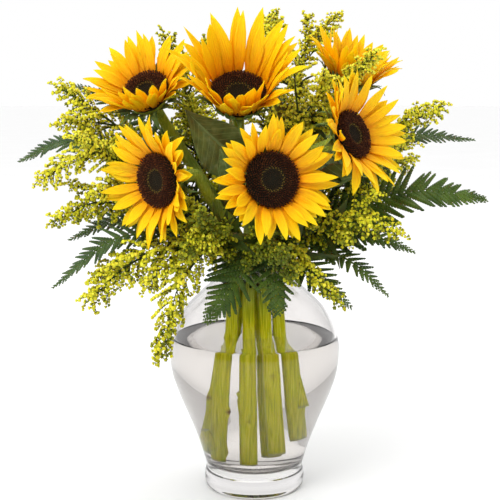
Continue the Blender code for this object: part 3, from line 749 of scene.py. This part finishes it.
def make_leaf(name, leaf, number):
    """One leaf: a toothed, quilted and ruffled blade on a stalk that runs on as its rib."""
    dice = random.Random(400 + number)
    stem = sunflower_line(SUNFLOWERS[leaf["stem"]])
    rise = Vector((0, 0, leaf.get("rise", 0) * MM))
    start = min(stem, key=lambda p: abs(p.z - leaf["height"] * MM)) + rise
    ahead = Vector(leaf["tip"]) * MM + rise - start
    long, half = ahead.length, leaf["width"] * MM / 2
    across = ahead.cross(Vector(leaf["face"])).normalized()
    normal = across.cross(ahead).normalized()
    sag, wave, roll = dice.uniform(0.02, 0.10), dice.uniform(0, 6), dice.uniform(0.25, 0.55)

    def rib(share):
        return start + ahead * share + normal * long * (0.35 * share * (1 - share) - sag * share ** 4)

    def form(along, aside):
        share = STALK_SHARE + (1 - STALK_SHARE) * along
        wide = half * between(LEAF_HALF, along)
        edge = abs(aside)
        tooth = TOOTH * edge ** 6 * math.sin(along * 2 * LEAF_TEETH * math.pi) * min(1, 12 * (1 - along))
        vein = (along + VEIN_SLANT * edge) * LEAF_VEINS
        quilt = QUILT * abs(math.sin(math.pi * vein)) * 4 * edge * (1.05 - edge)
        ruffle = RUFFLE * edge * edge * math.sin(13 * along + wave + (2 if aside > 0 else 0))
        lift = wide * (roll * edge ** 1.5 - 0.04) + quilt + ruffle * min(1, wide / half * 1.2)
        backwards = -0.10 * long * edge ** 2 * max(0.0, 1 - along * 6)
        return rib(share) + ahead * (backwards / long) + across * (wide + tooth) * aside + normal * lift

    shape, veins, sides = new_shape("vein", "across")
    for corner, along, aside in blade(shape, 2 * LEAF_TEETH, 14, form):
        corner[veins] = (along + VEIN_SLANT * abs(aside)) * LEAF_VEINS
        corner[sides] = aside
    thicken(shape, LEAF_T)
    steps = range(RIB_STEPS + 1)
    path = [rib(0.98 * i / RIB_STEPS) - normal * RIB_IN * MM * min(1, i / 3) for i in steps]
    rings = sweep(shape, path, [(1.9 - 1.55 * i / RIB_STEPS) * MM for i in steps], 8)
    for ring in rings:
        for corner in ring:
            corner[veins] = LEAF_VEINS * 4
    bmesh.ops.recalc_face_normals(shape, faces=shape.faces)
    put(shape, f"leaf_blade_{name}", leaf_green, "sunflower_leaf", f"leaf_{name}")


def leaf_colour(w):
    """Mottled green, with paler side veins and rib."""
    green = w.speckle(120.0, 4.0).ramp((0.3, (0.055, 0.090, 0.016)), (0.55, (0.10, 0.150, 0.032)),
                                       (0.75, (0.18, 0.24, 0.070)))
    vein = w.read("vein").through("PINGPONG", 0.5).through("LESS_THAN", 0.045) * 0.55
    rib = w.read("across").through("ABSOLUTE").spread(0.09, 0.02) * 0.8
    return vein.through("MAXIMUM", rib).blend(green, (0.25, 0.32, 0.11, 1))


leaf_green = finish_of(
    "leaf_green", {"Subsurface Weight": 0.15, "Subsurface Scale": 0.002, "Sheen Weight": 0.1,
                   "Specular IOR Level": 0.35},
    {"Base Color": leaf_colour, "Roughness": lambda w: w.speckle(60.0) * 0.25 + 0.42},
    bump=lambda w: w.speckle(500.0, 4.0), depth=0.45)
for number, (name, leaf) in enumerate(LEAVES.items()):
    make_leaf(name, leaf, number)

# ---- Foliage stems ------------------------------------------------------------------------------
# The thin stems of the goldenrod and fern pass the neck in a ring round the sunflower stems. This is
# the way of each one: its foot, the neck, the lip, and then its own path.

RING_R = 29.6 * MM
RING_SPREAD = 1.12  # how much wider the ring is at the lip than in the neck
SPREAD_Z = 224 * MM
BACK_FROM, FRONT_FROM = 8 * MM, -18 * MM
BACK_FOOT_Z, SIDE_FOOT_Z, FRONT_FOOT_Z = 112 * MM, 134 * MM, 156 * MM
SHORT_CUT_Z = 194 * MM  # where the stems that would show through the glass are cut short
FOLIAGE_STEPS = 8


def foliage_line(where, path):
    """A thin stem's way. where is its bearing in the ring, or a place inside it."""
    if isinstance(where, tuple):
        neck = Vector((where[0] * MM, where[1] * MM, NECK_Z))
    else:
        angle = math.radians(where)
        neck = Vector((RING_R * math.cos(angle), RING_R * math.sin(angle), NECK_Z))
    if neck.y > BACK_FROM:
        foot = Vector((neck.x * 0.92, neck.y * 1.25 + 3 * MM, BACK_FOOT_Z + 0.6 * abs(neck.x)))
    elif neck.y > FRONT_FROM:
        foot = Vector((neck.x * 1.08, neck.y * 1.08, SIDE_FOOT_Z))
    else:
        foot = Vector((neck.x * 1.05, neck.y * 1.05, FRONT_FOOT_Z))
    lip = Vector((neck.x * RING_SPREAD, neck.y * RING_SPREAD, SPREAD_Z))
    above = [Vector(p) * MM for p in path]
    return smooth_line([foot, foot.lerp(neck, 0.5), neck, lip, *above], FOLIAGE_STEPS)


HALF_COVERED = 6  # the flower whose petals goldenrod hides in part
BOWL = (-6, 42)  # millimetres behind and before a disc's face


def shown_stem(line):
    """The part of a thin stem that shows. All but the deep ones at the back are cut short in the neck."""
    if line[0].z < BACK_FOOT_Z + 20 * MM:
        return line[::2]
    return [p for p in line if p.z > SHORT_CUT_Z][::2]


def point_at(line, along, at):
    """The place at a distance along a line, and the way ahead there."""
    at = max(0.0, min(at, along[-1] - 1e-6))
    k = max(i for i, here in enumerate(along[:-1]) if here <= at)
    step = line[k + 1] - line[k]
    return line[k] + step * ((at - along[k]) / (along[k + 1] - along[k])), step.normalized()


def hides_a_face(place):
    """Whether a place is in the bowl of petals in front of a flower's disc. Goldenrod half covers one."""
    for number, flower in SUNFLOWERS.items():
        local = facing(flower).inverted() @ place
        reach = flower["disc"] + flower["petal"] * (0.3 if number == HALF_COVERED else 0.62)
        if BOWL[0] < local.z / MM < BOWL[1] and math.hypot(local.x, local.y) < reach * MM:
            return True
    return False


# ---- Goldenrod ----------------------------------------------------------------------------------
# Each spray is a stiff round stem with narrow leaves, and a plume of arching side twigs. The twigs carry
# rows of tiny flower heads on short stalks: a green cup, a star of yellow rays, and a dome of florets.

GOLDENROD = {  # bearing or place in the neck, plume's length, how ripe, and the way above the lip. How ripe also carries painted shade: the core sprays are set low so that the middle of the bouquet is darker
    "upper_left": (-195, 92, 0.8, (-64, 4, 285), (-128, -27, 345), (-174, -25, 375)),
    "left": (-168, 96, 0.9, (-76, -26, 272), (-135, -56, 318), (-185, -60, 295)),
    "left_low": (-158, 74, 0.75, (-74, -38, 250), (-130, -44, 275), (-175, -56, 259)),
    "low_left": (-138, 112, 0.75, (-50, -60, 240), (-99, -86, 230), (-140, -96, 196)),
    "droop": (-128, 96, 0.65, (-34, -66, 241), (-62, -112, 212), (-79, -115, 153)),
    "centre_left": (-108, 62, 0.3, (-22, -62, 245), (-38, -104, 257), (-42, -132, 275)),
    "centre_low": (-84, 66, 0.15, (4, -62, 242), (12, -112, 244), (24, -148, 243)),
    "low_right": (-52, 62, 0.65, (27, -60, 240), (46, -104, 224), (69, -115, 200)),
    "right": (-41, 72, 0.6, (50, -52, 246), (87, -98, 264), (119, -115, 256)),
    "between_right": ((12.7, 6.2), 66, 1.0, (23, -8, 268), (38, -36, 330), (34, -56, 386)),
    "before_top": ((15.5, 11.5), 72, 1.0, (28, 9, 292), (62, -34, 360), (103, -62, 403)),
    "upper_right": (-1, 72, 0.85, (76, -10, 284), (132, -16, 338), (170, -10, 358)),
    "top_right": ((20, 14), 72, 0.95, (42, 44, 320), (44, 56, 402), (82, 60, 447)),
    "top_mid": ((15, 18.5), 92, 0.9, (18, 32, 320), (10, 40, 400), (14, 46, 446)),
    "top_left": ((-17, 16), 92, 0.6, (-52, 22, 300), (-64, 22, 370), (-84, 18, 424)),
    "back_right": (35, 92, 0.7, (44, 60, 262), (70, 112, 330), (76, 140, 358)),
    "back_left": (-240, 92, 0.7, (-30, 62, 270), (-54, 108, 335), (-66, 132, 366)),
    "side_left": (-204, 92, 0.8, (-72, 34, 262), (-128, 72, 305), (-158, 88, 316)),
    "side_right": (17, 92, 0.7, (72, 30, 258), (126, 66, 296), (158, 84, 304)),
}
ROD_R = 1.5 * MM
BARE_STEM = 70 * MM  # from a spray's foot up, where nothing grows
PLUME_GROWTH = 1.6  # how much further down the stem side twigs grow than the plume's dense part
TWIG_STEP = 3.2 * MM
TWIG_LENGTHS = (6, 10, 15, 21, 28)  # millimetres
TWIG_KINDS = 3  # of each length
TWIG_SEGMENTS = 6
HEAD_STEP = 1.35 * MM
BRANCHES = 7
BRANCH_SEGMENTS = 9
SPRAY_LEAVES, LEAVES_BELOW = 20, 12  # in all, and how many of them grow below the first side twig
SPRAY_LEAF_STEP = 4.8 * MM
SPRAY_LEAF_HALF = ((0, 0.3), (0.25, 0.9), (0.45, 1.0), (0.75, 0.6), (1, 0.03))
SPRAY_LEAF_T = 0.3 * MM
UP = Vector((0, 0, 1))
LIP_TOP = 234 * MM
GLASS_R = 86 * MM  # foliage that hangs below the lip stays outside this, clear of the vase


def rod_head_part():
    """One flower head: a cup of green scales, a ring of rays, and a raised middle."""
    shape, tip, _ = new_shape("tip", "ripe_and_shade")
    cup_r, ray_r, tall = 0.75 * MM, 1.3 * MM, 1.5 * MM
    bmesh.ops.create_cone(shape, cap_ends=True, segments=5, radius1=0.3 * MM, radius2=cup_r, depth=tall)
    bmesh.ops.translate(shape, vec=(0, 0, tall / 2), verts=shape.verts)
    for corner in shape.verts:
        corner[tip] = 0.15 if corner.co.z < tall / 2 else 0.75
    top = [face for face in shape.faces if face.normal.z > 0.9]
    rays = bmesh.ops.inset_region(shape, faces=top, thickness=0.3 * MM, depth=0.0)["faces"]
    for corner in {corner for face in rays for corner in face.verts}:
        if corner[tip] and math.hypot(corner.co.x, corner.co.y) > 0.6 * MM:
            corner.co *= ray_r / cup_r
            corner.co.z = tall + 0.15 * MM
    for corner in bmesh.ops.poke(shape, faces=top, offset=0.75 * MM)["verts"]:
        corner[tip] = 0.9
    for corner in shape.verts:
        if corner.co.z > tall * 0.9:
            corner[tip] = max(corner[tip], 0.8)
    return mesh_of(shape, "rod_head")


def twig_part(long, kind):
    """A side twig that grows along Z and bows away from X, its upper side, which bears most flower heads."""
    dice = random.Random(700 + 10 * long + kind)
    shape, tip, _, _ = new_shape("tip", "ripe_and_shade", "open_and_shade")
    name = f"twig_{long}_{kind}"
    long *= MM
    points = [Vector((0, 0, 0))]
    heading = Vector((0.1, dice.uniform(-0.12, 0.12), 1))
    for _ in range(TWIG_SEGMENTS):
        points.append(points[-1] + heading.normalized() * long / TWIG_SEGMENTS)
        heading += Vector((-0.16, dice.uniform(-0.08, 0.08), 0))
    sweep(shape, points, [(0.5 - 0.055 * i) * MM for i in range(TWIG_SEGMENTS + 1)], 5)
    for corner in shape.verts:
        corner[tip] = 0.06
    far = distances(points)
    heads = []
    at = long * 0.14
    side = dice.choice((-1, 1))
    while at < long:
        place, ahead = point_at(points, far, at)
        upper = (Vector((1, 0, 0)) - ahead * ahead.x).normalized()
        axis = (Matrix.Rotation(side * dice.uniform(0.2, 1.9), 3, ahead) @ upper + ahead * 0.5).normalized()
        turned = axis.to_track_quat("Z", "Y").to_matrix().to_4x4()
        place = Matrix.Translation(place + axis * dice.uniform(0.1, 1.1) * MM)
        heads.append((place @ turned @ Matrix.Scale(dice.uniform(0.95, 1.5), 4), dice.gauss(0.5, 0.25)))
        side = -side
        at += HEAD_STEP * dice.uniform(0.6, 1.4)
    scatter(shape, rod_head, heads, "ripe_and_shade")
    return mesh_of(shape, name)


def small_leaf(shape, root, ahead, face, long, half):
    """A narrow pointed leaf that bows a little."""
    across = ahead.cross(face).normalized()
    normal = across.cross(ahead).normalized()

    def form(along, aside):
        wide = half * between(SPRAY_LEAF_HALF, along)
        return (root + ahead * long * along + across * wide * aside
                + normal * (long * (0.18 * along - 0.42 * along ** 2) + 0.35 * wide * abs(aside)))

    blade(shape, 6, 2, form)


def is_free(place):
    """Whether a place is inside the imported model's box, clear of the vase and of the flower faces."""
    (low_x, low_y, low_z), (high_x, high_y, high_z) = cad_box
    inside = low_x < place.x < high_x and low_y < place.y < high_y and low_z < place.z < high_z
    over_glass = place.z > LIP_TOP or math.hypot(place.x, place.y) > GLASS_R
    return inside and over_glass and not hides_a_face(place)


def beside(ahead, angle):
    """A direction square to the way ahead, turned round it by an angle."""
    return Matrix.Rotation(angle, 3, ahead) @ ahead.orthogonal().normalized()


def make_spray(number, name, where, length, ripeness_and_shade, *path):
    """One spray: its narrow leaves, its stem, its branches, and the side twigs that grow on both."""
    dice = random.Random(500 + number)
    line = foliage_line(where, path)
    along = distances(line)
    plume = length * MM
    bearing = min(plume * PLUME_GROWTH, along[-1] - BARE_STEM)
    shape, _, _, _ = new_shape("tip", "ripe_and_shade", "open_and_shade")
    for i in range(SPRAY_LEAVES):
        place, ahead = point_at(line, along, along[-1] - bearing + (i - LEAVES_BELOW) * SPRAY_LEAF_STEP)
        out = beside(ahead, i * GOLDEN_ANGLE + number)
        if place.z > LIP_TOP and is_free(place + out * 25 * MM):
            small_leaf(shape, place, (ahead * 0.7 + out).normalized(), ahead, dice.uniform(24, 44) * MM,
                       dice.uniform(2.4, 4.6) * MM)
    thicken(shape, SPRAY_LEAF_T)
    chosen = {kind: [] for kind in twigs}

    def set_twig(root, heading, long, ripe_and_shade):
        """Chooses the twig of the nearest length, and turns it so that it bows down."""
        heading = heading.normalized()
        if not (is_free(root + heading * long * 0.5) and is_free(root + heading * long)):
            return
        nearest = min(TWIG_LENGTHS, key=lambda one: abs(one * MM - long))
        up = UP - heading * heading.z
        up = up.normalized() if up.length > 0.15 else heading.orthogonal().normalized()
        size = Matrix.Scale(max(0.8, min(1.2, long / (nearest * MM))), 4)
        kind = nearest, dice.randrange(TWIG_KINDS)
        chosen[kind].append((placed(root, up, heading.cross(up), heading) @ size, ripe_and_shade))

    def grow(line, bearing, reach):
        """Grows side twigs along the last stretch of a stem or branch, and one on its end."""
        along = distances(line)
        turned_by = dice.uniform(0, 6)
        at = along[-1] - bearing
        while at < along[-1] - 2 * MM:
            share = (along[-1] - at) / bearing
            long = reach * (0.09 + 0.26 * share ** 0.7) * dice.uniform(0.7, 1.2)
            long *= between(((0, 1), (0.8, 1.0), (1.0, 0.6)), share)
            root, ahead = point_at(line, along, at)
            turned_by += GOLDEN_ANGLE + dice.gauss(0, 0.3)
            out = beside(ahead, turned_by)
            # Painted shade as well as ripeness: twigs that point down get lower, darker values, and the core
            # sprays come in low.
            ripe_and_shade = min(1.0, max(0.0, ripeness_and_shade + 0.12 * out.z + dice.gauss(0, 0.10)))
            set_twig(root, ahead * 0.8 + out * 0.9 + UP * 0.15, long, ripe_and_shade)
            at += TWIG_STEP * dice.uniform(0.6, 1.3) * (0.5 + 0.5 * share)
        set_twig(line[-1], line[-1] - line[-2], 9 * MM, ripeness_and_shade)

    thin = shown_stem(line)
    sweep(shape, thin, [ROD_R * (1 - 0.72 * (i / len(thin)) ** 3) for i in range(len(thin))], 8)
    for i in range(BRANCHES):
        at = along[-1] - bearing * (0.42 + 1.1 * i / (BRANCHES - 1))
        root, ahead = point_at(line, along, at)
        out = beside(ahead, i * GOLDEN_ANGLE + number * 1.3)
        heading = (ahead + out * 0.8 + UP * 0.15).normalized()
        long = plume * dice.uniform(0.45, 0.70)
        points = [root]
        for _ in range(BRANCH_SEGMENTS):
            points.append(points[-1] + heading * long / BRANCH_SEGMENTS)
            heading = (heading + ahead * 0.05 - UP * 0.06).normalized()
        if root.z > LIP_TOP and all(is_free(place) for place in points[2:]):
            thick = [(1.0 - 0.07 * step) * MM for step in range(BRANCH_SEGMENTS + 1)]
            sweep(shape, points, thick, 6, first=ahead.orthogonal())
            grow(points, long * 0.86, long * 1.1)
    grow(line, bearing, plume)
    bmesh.ops.recalc_face_normals(shape, faces=shape.faces)
    for kind, part in twigs.items():
        scatter(shape, part, chosen[kind], "open_and_shade")
    put(shape, f"goldenrod_spray_{name}", goldenrod_yellow, "goldenrod", f"goldenrod_{name}")


def goldenrod_colour(w):
    """Green stalks and cups, and rays that go from green in the bud to yellow where they are open. Ripeness
    here also carries painted shade, so the low, dark greens are partly shade painted deep in the bouquet.
    """
    tip = w.read("tip")
    ripe_and_shade = w.read("open_and_shade") + (w.read("ripe_and_shade") - 0.5) * 0.55
    # The dark low end of this ramp is partly painted shade for the heads deep in the bouquet.
    yellow = ripe_and_shade.ramp((0.1, (0.09, 0.12, 0.004)), (0.4, (0.34, 0.36, 0.008)), (0.75, (0.74, 0.69, 0.02)),
                       (1.0, (0.88, 0.82, 0.06)))
    cup = w.speckle(220.0).ramp((0.3, (0.06, 0.085, 0.004)), (0.7, (0.18, 0.21, 0.008)))
    head = (tip + ripe_and_shade * 0.3 - 0.15).spread(0.3, 0.8).blend(cup, yellow)
    # Stalks and spray leaves: green, painted darker to stand for the shade deep in the bouquet.
    stalk_and_shade = w.speckle(90.0).ramp((0.3, (0.016, 0.030, 0.002)), (0.7, (0.060, 0.090, 0.007)))
    return tip.spread(0.02, 0.1).blend(stalk_and_shade, head)


goldenrod_yellow = finish_of(
    "goldenrod_yellow", {"Subsurface Weight": 0.15, "Subsurface Scale": 0.002, "Specular IOR Level": 0.3},
    {"Base Color": goldenrod_colour, "Roughness": lambda w: w.speckle(200.0) * 0.2 + 0.5},
    bump=lambda w: w.speckle(1500.0), depth=0.3)
rod_head = rod_head_part()
twigs = {(long, kind): twig_part(long, kind) for long in TWIG_LENGTHS for kind in range(TWIG_KINDS)}
for number, (name, spray) in enumerate(GOLDENROD.items()):
    make_spray(number, name, *spray)

# ---- Leatherleaf fern ---------------------------------------------------------------------------
# Each frond is leathery and glossy, a broad triangle twice divided: pairs of leaflets along the rib, and
# toothed lobes along each leaflet. It arches over and droops at its tip.

# A tone goes from fresh green at 0 to blue-grey at 1.
FERNS = {  # bearing in the neck, blade's length and width, tone, how much broader, upper side, and way
    "left": (-186, 120, 60, 0.9, 1, (0.1, -0.55, 0.85),
        (-64, 2, 266), (-126, -10, 316), (-172, -12, 326), (-214, -15, 308)),
    "upper_left": (-222, 86, 46, 0.6, 1, (-0.2, -0.7, 0.7),
        (-52, 26, 290), (-112, 30, 350), (-173, 24, 379)),
    "low_left": (-148, 100, 50, 0.7, 1, (-0.3, -0.5, 0.8),
        (-62, -50, 241), (-119, -70, 246), (-173, -80, 204)),
    "left_mid": (-177, 98, 50, 0.6, 1, (-0.2, -0.6, 0.8),
        (-66, -8, 246), (-122, -14, 256), (-168, -28, 238)),
    "right": (-10, 125, 64, 0.05, 1.25, (0.1, -0.7, 0.7),
        (66, -22, 246), (136, -38, 282), (205, -42, 277)),
    "upper_right": (8, 100, 46, 0.8, 1, (0.1, -0.6, 0.8), (72, 8, 268), (134, 14, 328), (204, 12, 327)),
    "right_low": (-20, 80, 44, 0.1, 1, (0.2, -0.7, 0.7), (58, -36, 243), (98, -60, 248), (138, -76, 234)),
    "low_right": (-30, 76, 40, 0.1, 1, (0.3, -0.6, 0.7), (46, -40, 240), (86, -74, 224), (116, -76, 196)),
    "bottom_right": (-66, 70, 40, 0.0, 1.25, (0.3, -0.8, 0.4),
        (21, -59, 236), (56, -88, 212), (82, -94, 190)),
    "front_drop": (-97, 74, 54, 0.1, 1.25, (0.0, -0.9, 0.4),
        (-6, -60, 240), (-14, -98, 217), (-40, -112, 181)),
    "front_mid": (-75, 56, 32, 0.1, 1.75, (0.1, -0.9, 0.4),
        (10, -62, 241), (18, -97, 217), (19, -107, 184)),
    "back": (44, 125, 60, 0.3, 1, (0.0, 0.6, 0.8), (22, 62, 244), (10, 130, 282), (4, 188, 270)),
    "back_right": (26, 110, 56, 0.2, 1, (0.3, 0.5, 0.8), (60, 54, 242), (96, 108, 262), (126, 156, 244)),
    "back_left": (-231, 110, 56, 0.4, 1, (-0.3, 0.5, 0.8),
        (-44, 56, 242), (-84, 112, 266), (-112, 154, 246)),
    "side_left": (-213, 105, 52, 0.5, 1, (-0.4, 0.2, 0.9),
        (-62, 34, 243), (-124, 72, 254), (-176, 86, 230)),
}
BLADE_GROWTH = 1.35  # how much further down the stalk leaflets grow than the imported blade
LEAFLET_STEP = 7.7 * MM
LEAFLET_KINDS = ((23, 10), (15, 7), (9, 5), (0, 3))  # from this length in millimetres, pairs of lobes
LEAFLET_REACH = ((0, 0.09), (0.12, 0.26), (0.4, 0.66), (0.75, 1.0), (1, 0.9))  # from a frond's tip down
LOBE_HALF = ((0, 0.80), (0.35, 1.0), (0.7, 0.82), (1, 0.10))
LEAFLET_T = 0.32 * MM
BARE_STALK = 78 * MM  # from a frond's foot up, where nothing grows


def leaflet_part(pairs):
    """A leaflet one unit long: toothed lobes in pairs that run together towards its tip."""
    shape, _ = new_shape("tone")

    def droop(point):
        return Vector((point.x, point.y, point.z - 0.10 * point.x ** 2 - 0.3 * abs(point.y)))

    def rib(along, aside):
        return droop(Vector((along * 0.97, aside * (0.030 - 0.02 * along), 0.012)))

    blade(shape, pairs + 1, 2, rib)
    for i in range(pairs):
        share = (i + 0.35) / pairs
        reach = 0.045 + (0.125 + 0.022 * (10 - pairs)) * (1 - share) ** 0.7
        width = 0.41 / pairs
        for hand in (-1, 1):
            lean = math.radians(58 - 26 * share)
            ahead = Vector((math.cos(lean), hand * math.sin(lean), 0))
            aside_of = Vector((-ahead.y, ahead.x, 0))
            root = Vector((share * 0.94 + 0.010 * hand, 0, 0))

            def lobe(along, aside):
                wide = width * between(LOBE_HALF, along)
                bow = aside_of * (-hand * 0.16 * reach * along ** 2)
                return droop(root + ahead * reach * along + aside_of * wide * aside + bow
                             + Vector((0, 0, 0.02 * (1 - aside * aside) * (1 - along))))

            blade(shape, 3, 2, lobe)
    return mesh_of(shape, f"leaflet_{pairs}")


def make_frond(number, name, where, length, width, tone, broader, face, *path):
    """One frond: leaflets in pairs along the rib, longest near its foot, and the stalk below them."""
    dice = random.Random(600 + number)
    line = foliage_line(where, path)
    along = distances(line)
    reach = min(length * MM * BLADE_GROWTH, along[-1] - BARE_STALK)
    face = Vector(face).normalized()
    shape, _ = new_shape("tone")
    chosen = {pairs: [] for _, pairs in LEAFLET_KINDS}
    at = along[-1] - reach
    while at < along[-1] - 1.5 * MM:
        share = (along[-1] - at) / reach
        for hand in (-1, 1):
            place, ahead = point_at(line, along, min(at + (1.4 * MM if hand > 0 else 0), along[-1] - MM))
            across = ahead.cross(face).normalized()
            normal = across.cross(ahead).normalized()
            long = width * MM / 2 * 1.12 * broader * between(LEAFLET_REACH, share) * dice.uniform(0.9, 1.08)
            lean = math.radians(38 + 26 * share + dice.gauss(0, 3))
            lift = dice.gauss(0.10, 0.07)
            out = (ahead * math.cos(lean) + across * hand * math.sin(lean) + normal * lift).normalized()
            up = (normal - out * normal.dot(out) + across * dice.gauss(0, 0.10)).normalized()
            pairs = next(pairs for least, pairs in LEAFLET_KINDS if long > least * MM)
            own_tone = min(1, max(0, tone + dice.gauss(0, 0.08)))
            set_out = placed(place, out, up.cross(out).normalized(), up) @ Matrix.Scale(long, 4)
            chosen[pairs].append((set_out, own_tone))
        at += LEAFLET_STEP * (0.42 + 0.58 * min(1, share * 1.6))
    for pairs, places in chosen.items():
        scatter(shape, leaflets[pairs], places, "tone")
    thicken(shape, LEAFLET_T)
    thin = shown_stem(line)
    sweep(shape, thin, [(1.25 - 0.9 * (i / len(thin)) ** 2) * MM for i in range(len(thin))], 8)
    put(shape, f"fern_frond_{name}", fern_green, "fern", f"fern_{name}")


def fern_colour(w):
    fresh = w.speckle(70.0, 3.0).ramp((0.3, (0.025, 0.056, 0.003)), (0.7, (0.082, 0.138, 0.010)))
    grey = w.speckle(70.0, 3.0).ramp((0.3, (0.030, 0.062, 0.022)), (0.7, (0.090, 0.145, 0.055)))
    return w.read("tone").blend(fresh, grey)


fern_green = finish_of(
    "fern_green", {"Specular IOR Level": 0.35, "Subsurface Weight": 0.06, "Subsurface Scale": 0.002},
    {"Base Color": fern_colour, "Roughness": lambda w: w.speckle(50.0) * 0.25 + 0.28},
    bump=lambda w: w.speckle(420.0, 3.0), depth=0.35)
leaflets = {pairs: leaflet_part(pairs) for _, pairs in LEAFLET_KINDS}
for number, (name, frond) in enumerate(FERNS.items()):
    make_frond(number, name, *frond)

# ---- Studio -------------------------------------------------------------------------------------
# A pale seamless floor under a bright sky, with one big soft lamp high at the front left and a weaker one
# high at the back right. The lamps don't show as spots on the glass.

BACKDROP_R = 60.0
FLOOR_GAP = 0.15 * MM  # the film of air under the glass foot
LAMPS = (("key", (-1.2, -1.5, 2.0), 1.5, 42.0), ("rim", (1.4, 0.6, 1.9), 1.4, 12.0))  # place, size, watts
LAMPS_AIM = Vector((0, 0, 0.25))
LENS, SENSOR = 74.2, 36.0
CAMERA_AT = (0.0, -0.95, 0.364)
CAMERA_DOWN, CAMERA_LEFT = 8.3, 0.25  # degrees


def floor_colour(w):
    return w.speckle(3.0).ramp((0.3, (0.88, 0.88, 0.88)), (0.7, (0.90, 0.90, 0.90)))


shape = bmesh.new()
bmesh.ops.create_circle(shape, cap_ends=True, segments=64, radius=BACKDROP_R)
bmesh.ops.translate(shape, vec=(0, 0, -FLOOR_GAP), verts=shape.verts)
mesh = mesh_of(shape, "floor")
floor = bpy.data.objects.new("floor", mesh)
bpy.context.scene.collection.objects.link(floor)
mesh.materials.append(finish_of("pale_floor", {"Roughness": 0.7}, {"Base Color": floor_colour}))

world = bpy.data.worlds.new("studio")
world.use_nodes = True
sky = Wire(world.node_tree)
way = sky.node("TexCoord", output="Generated")
height = sky.node("SeparateXYZ", {}, {"Vector": way}, output="Z")
depth = sky.node("SeparateXYZ", {}, {"Vector": way}, output="Y")
white = sky.node("Background", {}, {"Color": (1.0, 1.0, 1.0, 1), "Strength": 1.0})
seen = sky.node("LightPath", output="Is Camera Ray")
through = sky.node("LightPath", output="Is Transmission Ray")
mirrored = sky.node("LightPath", output="Is Glossy Ray")
bounced = sky.node("LightPath", output="Diffuse Depth").spread(0.0, 1.0)
# Brightest overhead and behind. What stands in the vase is lit through the glass from the front as well,
# and the glass mirrors the sky a little dimmer than it is.
even = height.spread(-0.05, 0.9) * 0.75 + depth.spread(-0.5, 0.6) * 0.50 + 0.30
inside_glass = through * depth.spread(0.1, -0.7) * (bounced * 2.4 - 0.2)
glow = even + inside_glass - mirrored * 0.14
fill = sky.node("Background", {}, {"Color": (1.0, 1.0, 1.0, 1), "Strength": glow})
both = sky.node("MixShader", {}, {0: seen, 1: fill, 2: white})
world.node_tree.links.new(both.socket, world.node_tree.nodes["World Output"].inputs["Surface"])
bpy.context.scene.world = world

for name, place, size, power in LAMPS:
    lamp = bpy.data.lights.new(name, "AREA")
    lamp.size = size
    lamp.energy = power
    stand = bpy.data.objects.new(name, lamp)
    stand.location = place
    stand.rotation_euler = (LAMPS_AIM - Vector(place)).to_track_quat("-Z", "Y").to_euler()
    stand.visible_glossy = False
    stand.visible_transmission = False
    bpy.context.scene.collection.objects.link(stand)

lens = bpy.data.cameras.new("camera")
lens.lens = LENS
lens.sensor_width = SENSOR
camera = bpy.data.objects.new("camera", lens)
camera.location = CAMERA_AT
camera.rotation_euler = (math.radians(90 - CAMERA_DOWN), 0.0, math.radians(CAMERA_LEFT))
bpy.context.scene.collection.objects.link(camera)
bpy.context.scene.camera = camera
bpy.context.scene.view_settings.view_transform = "Standard"
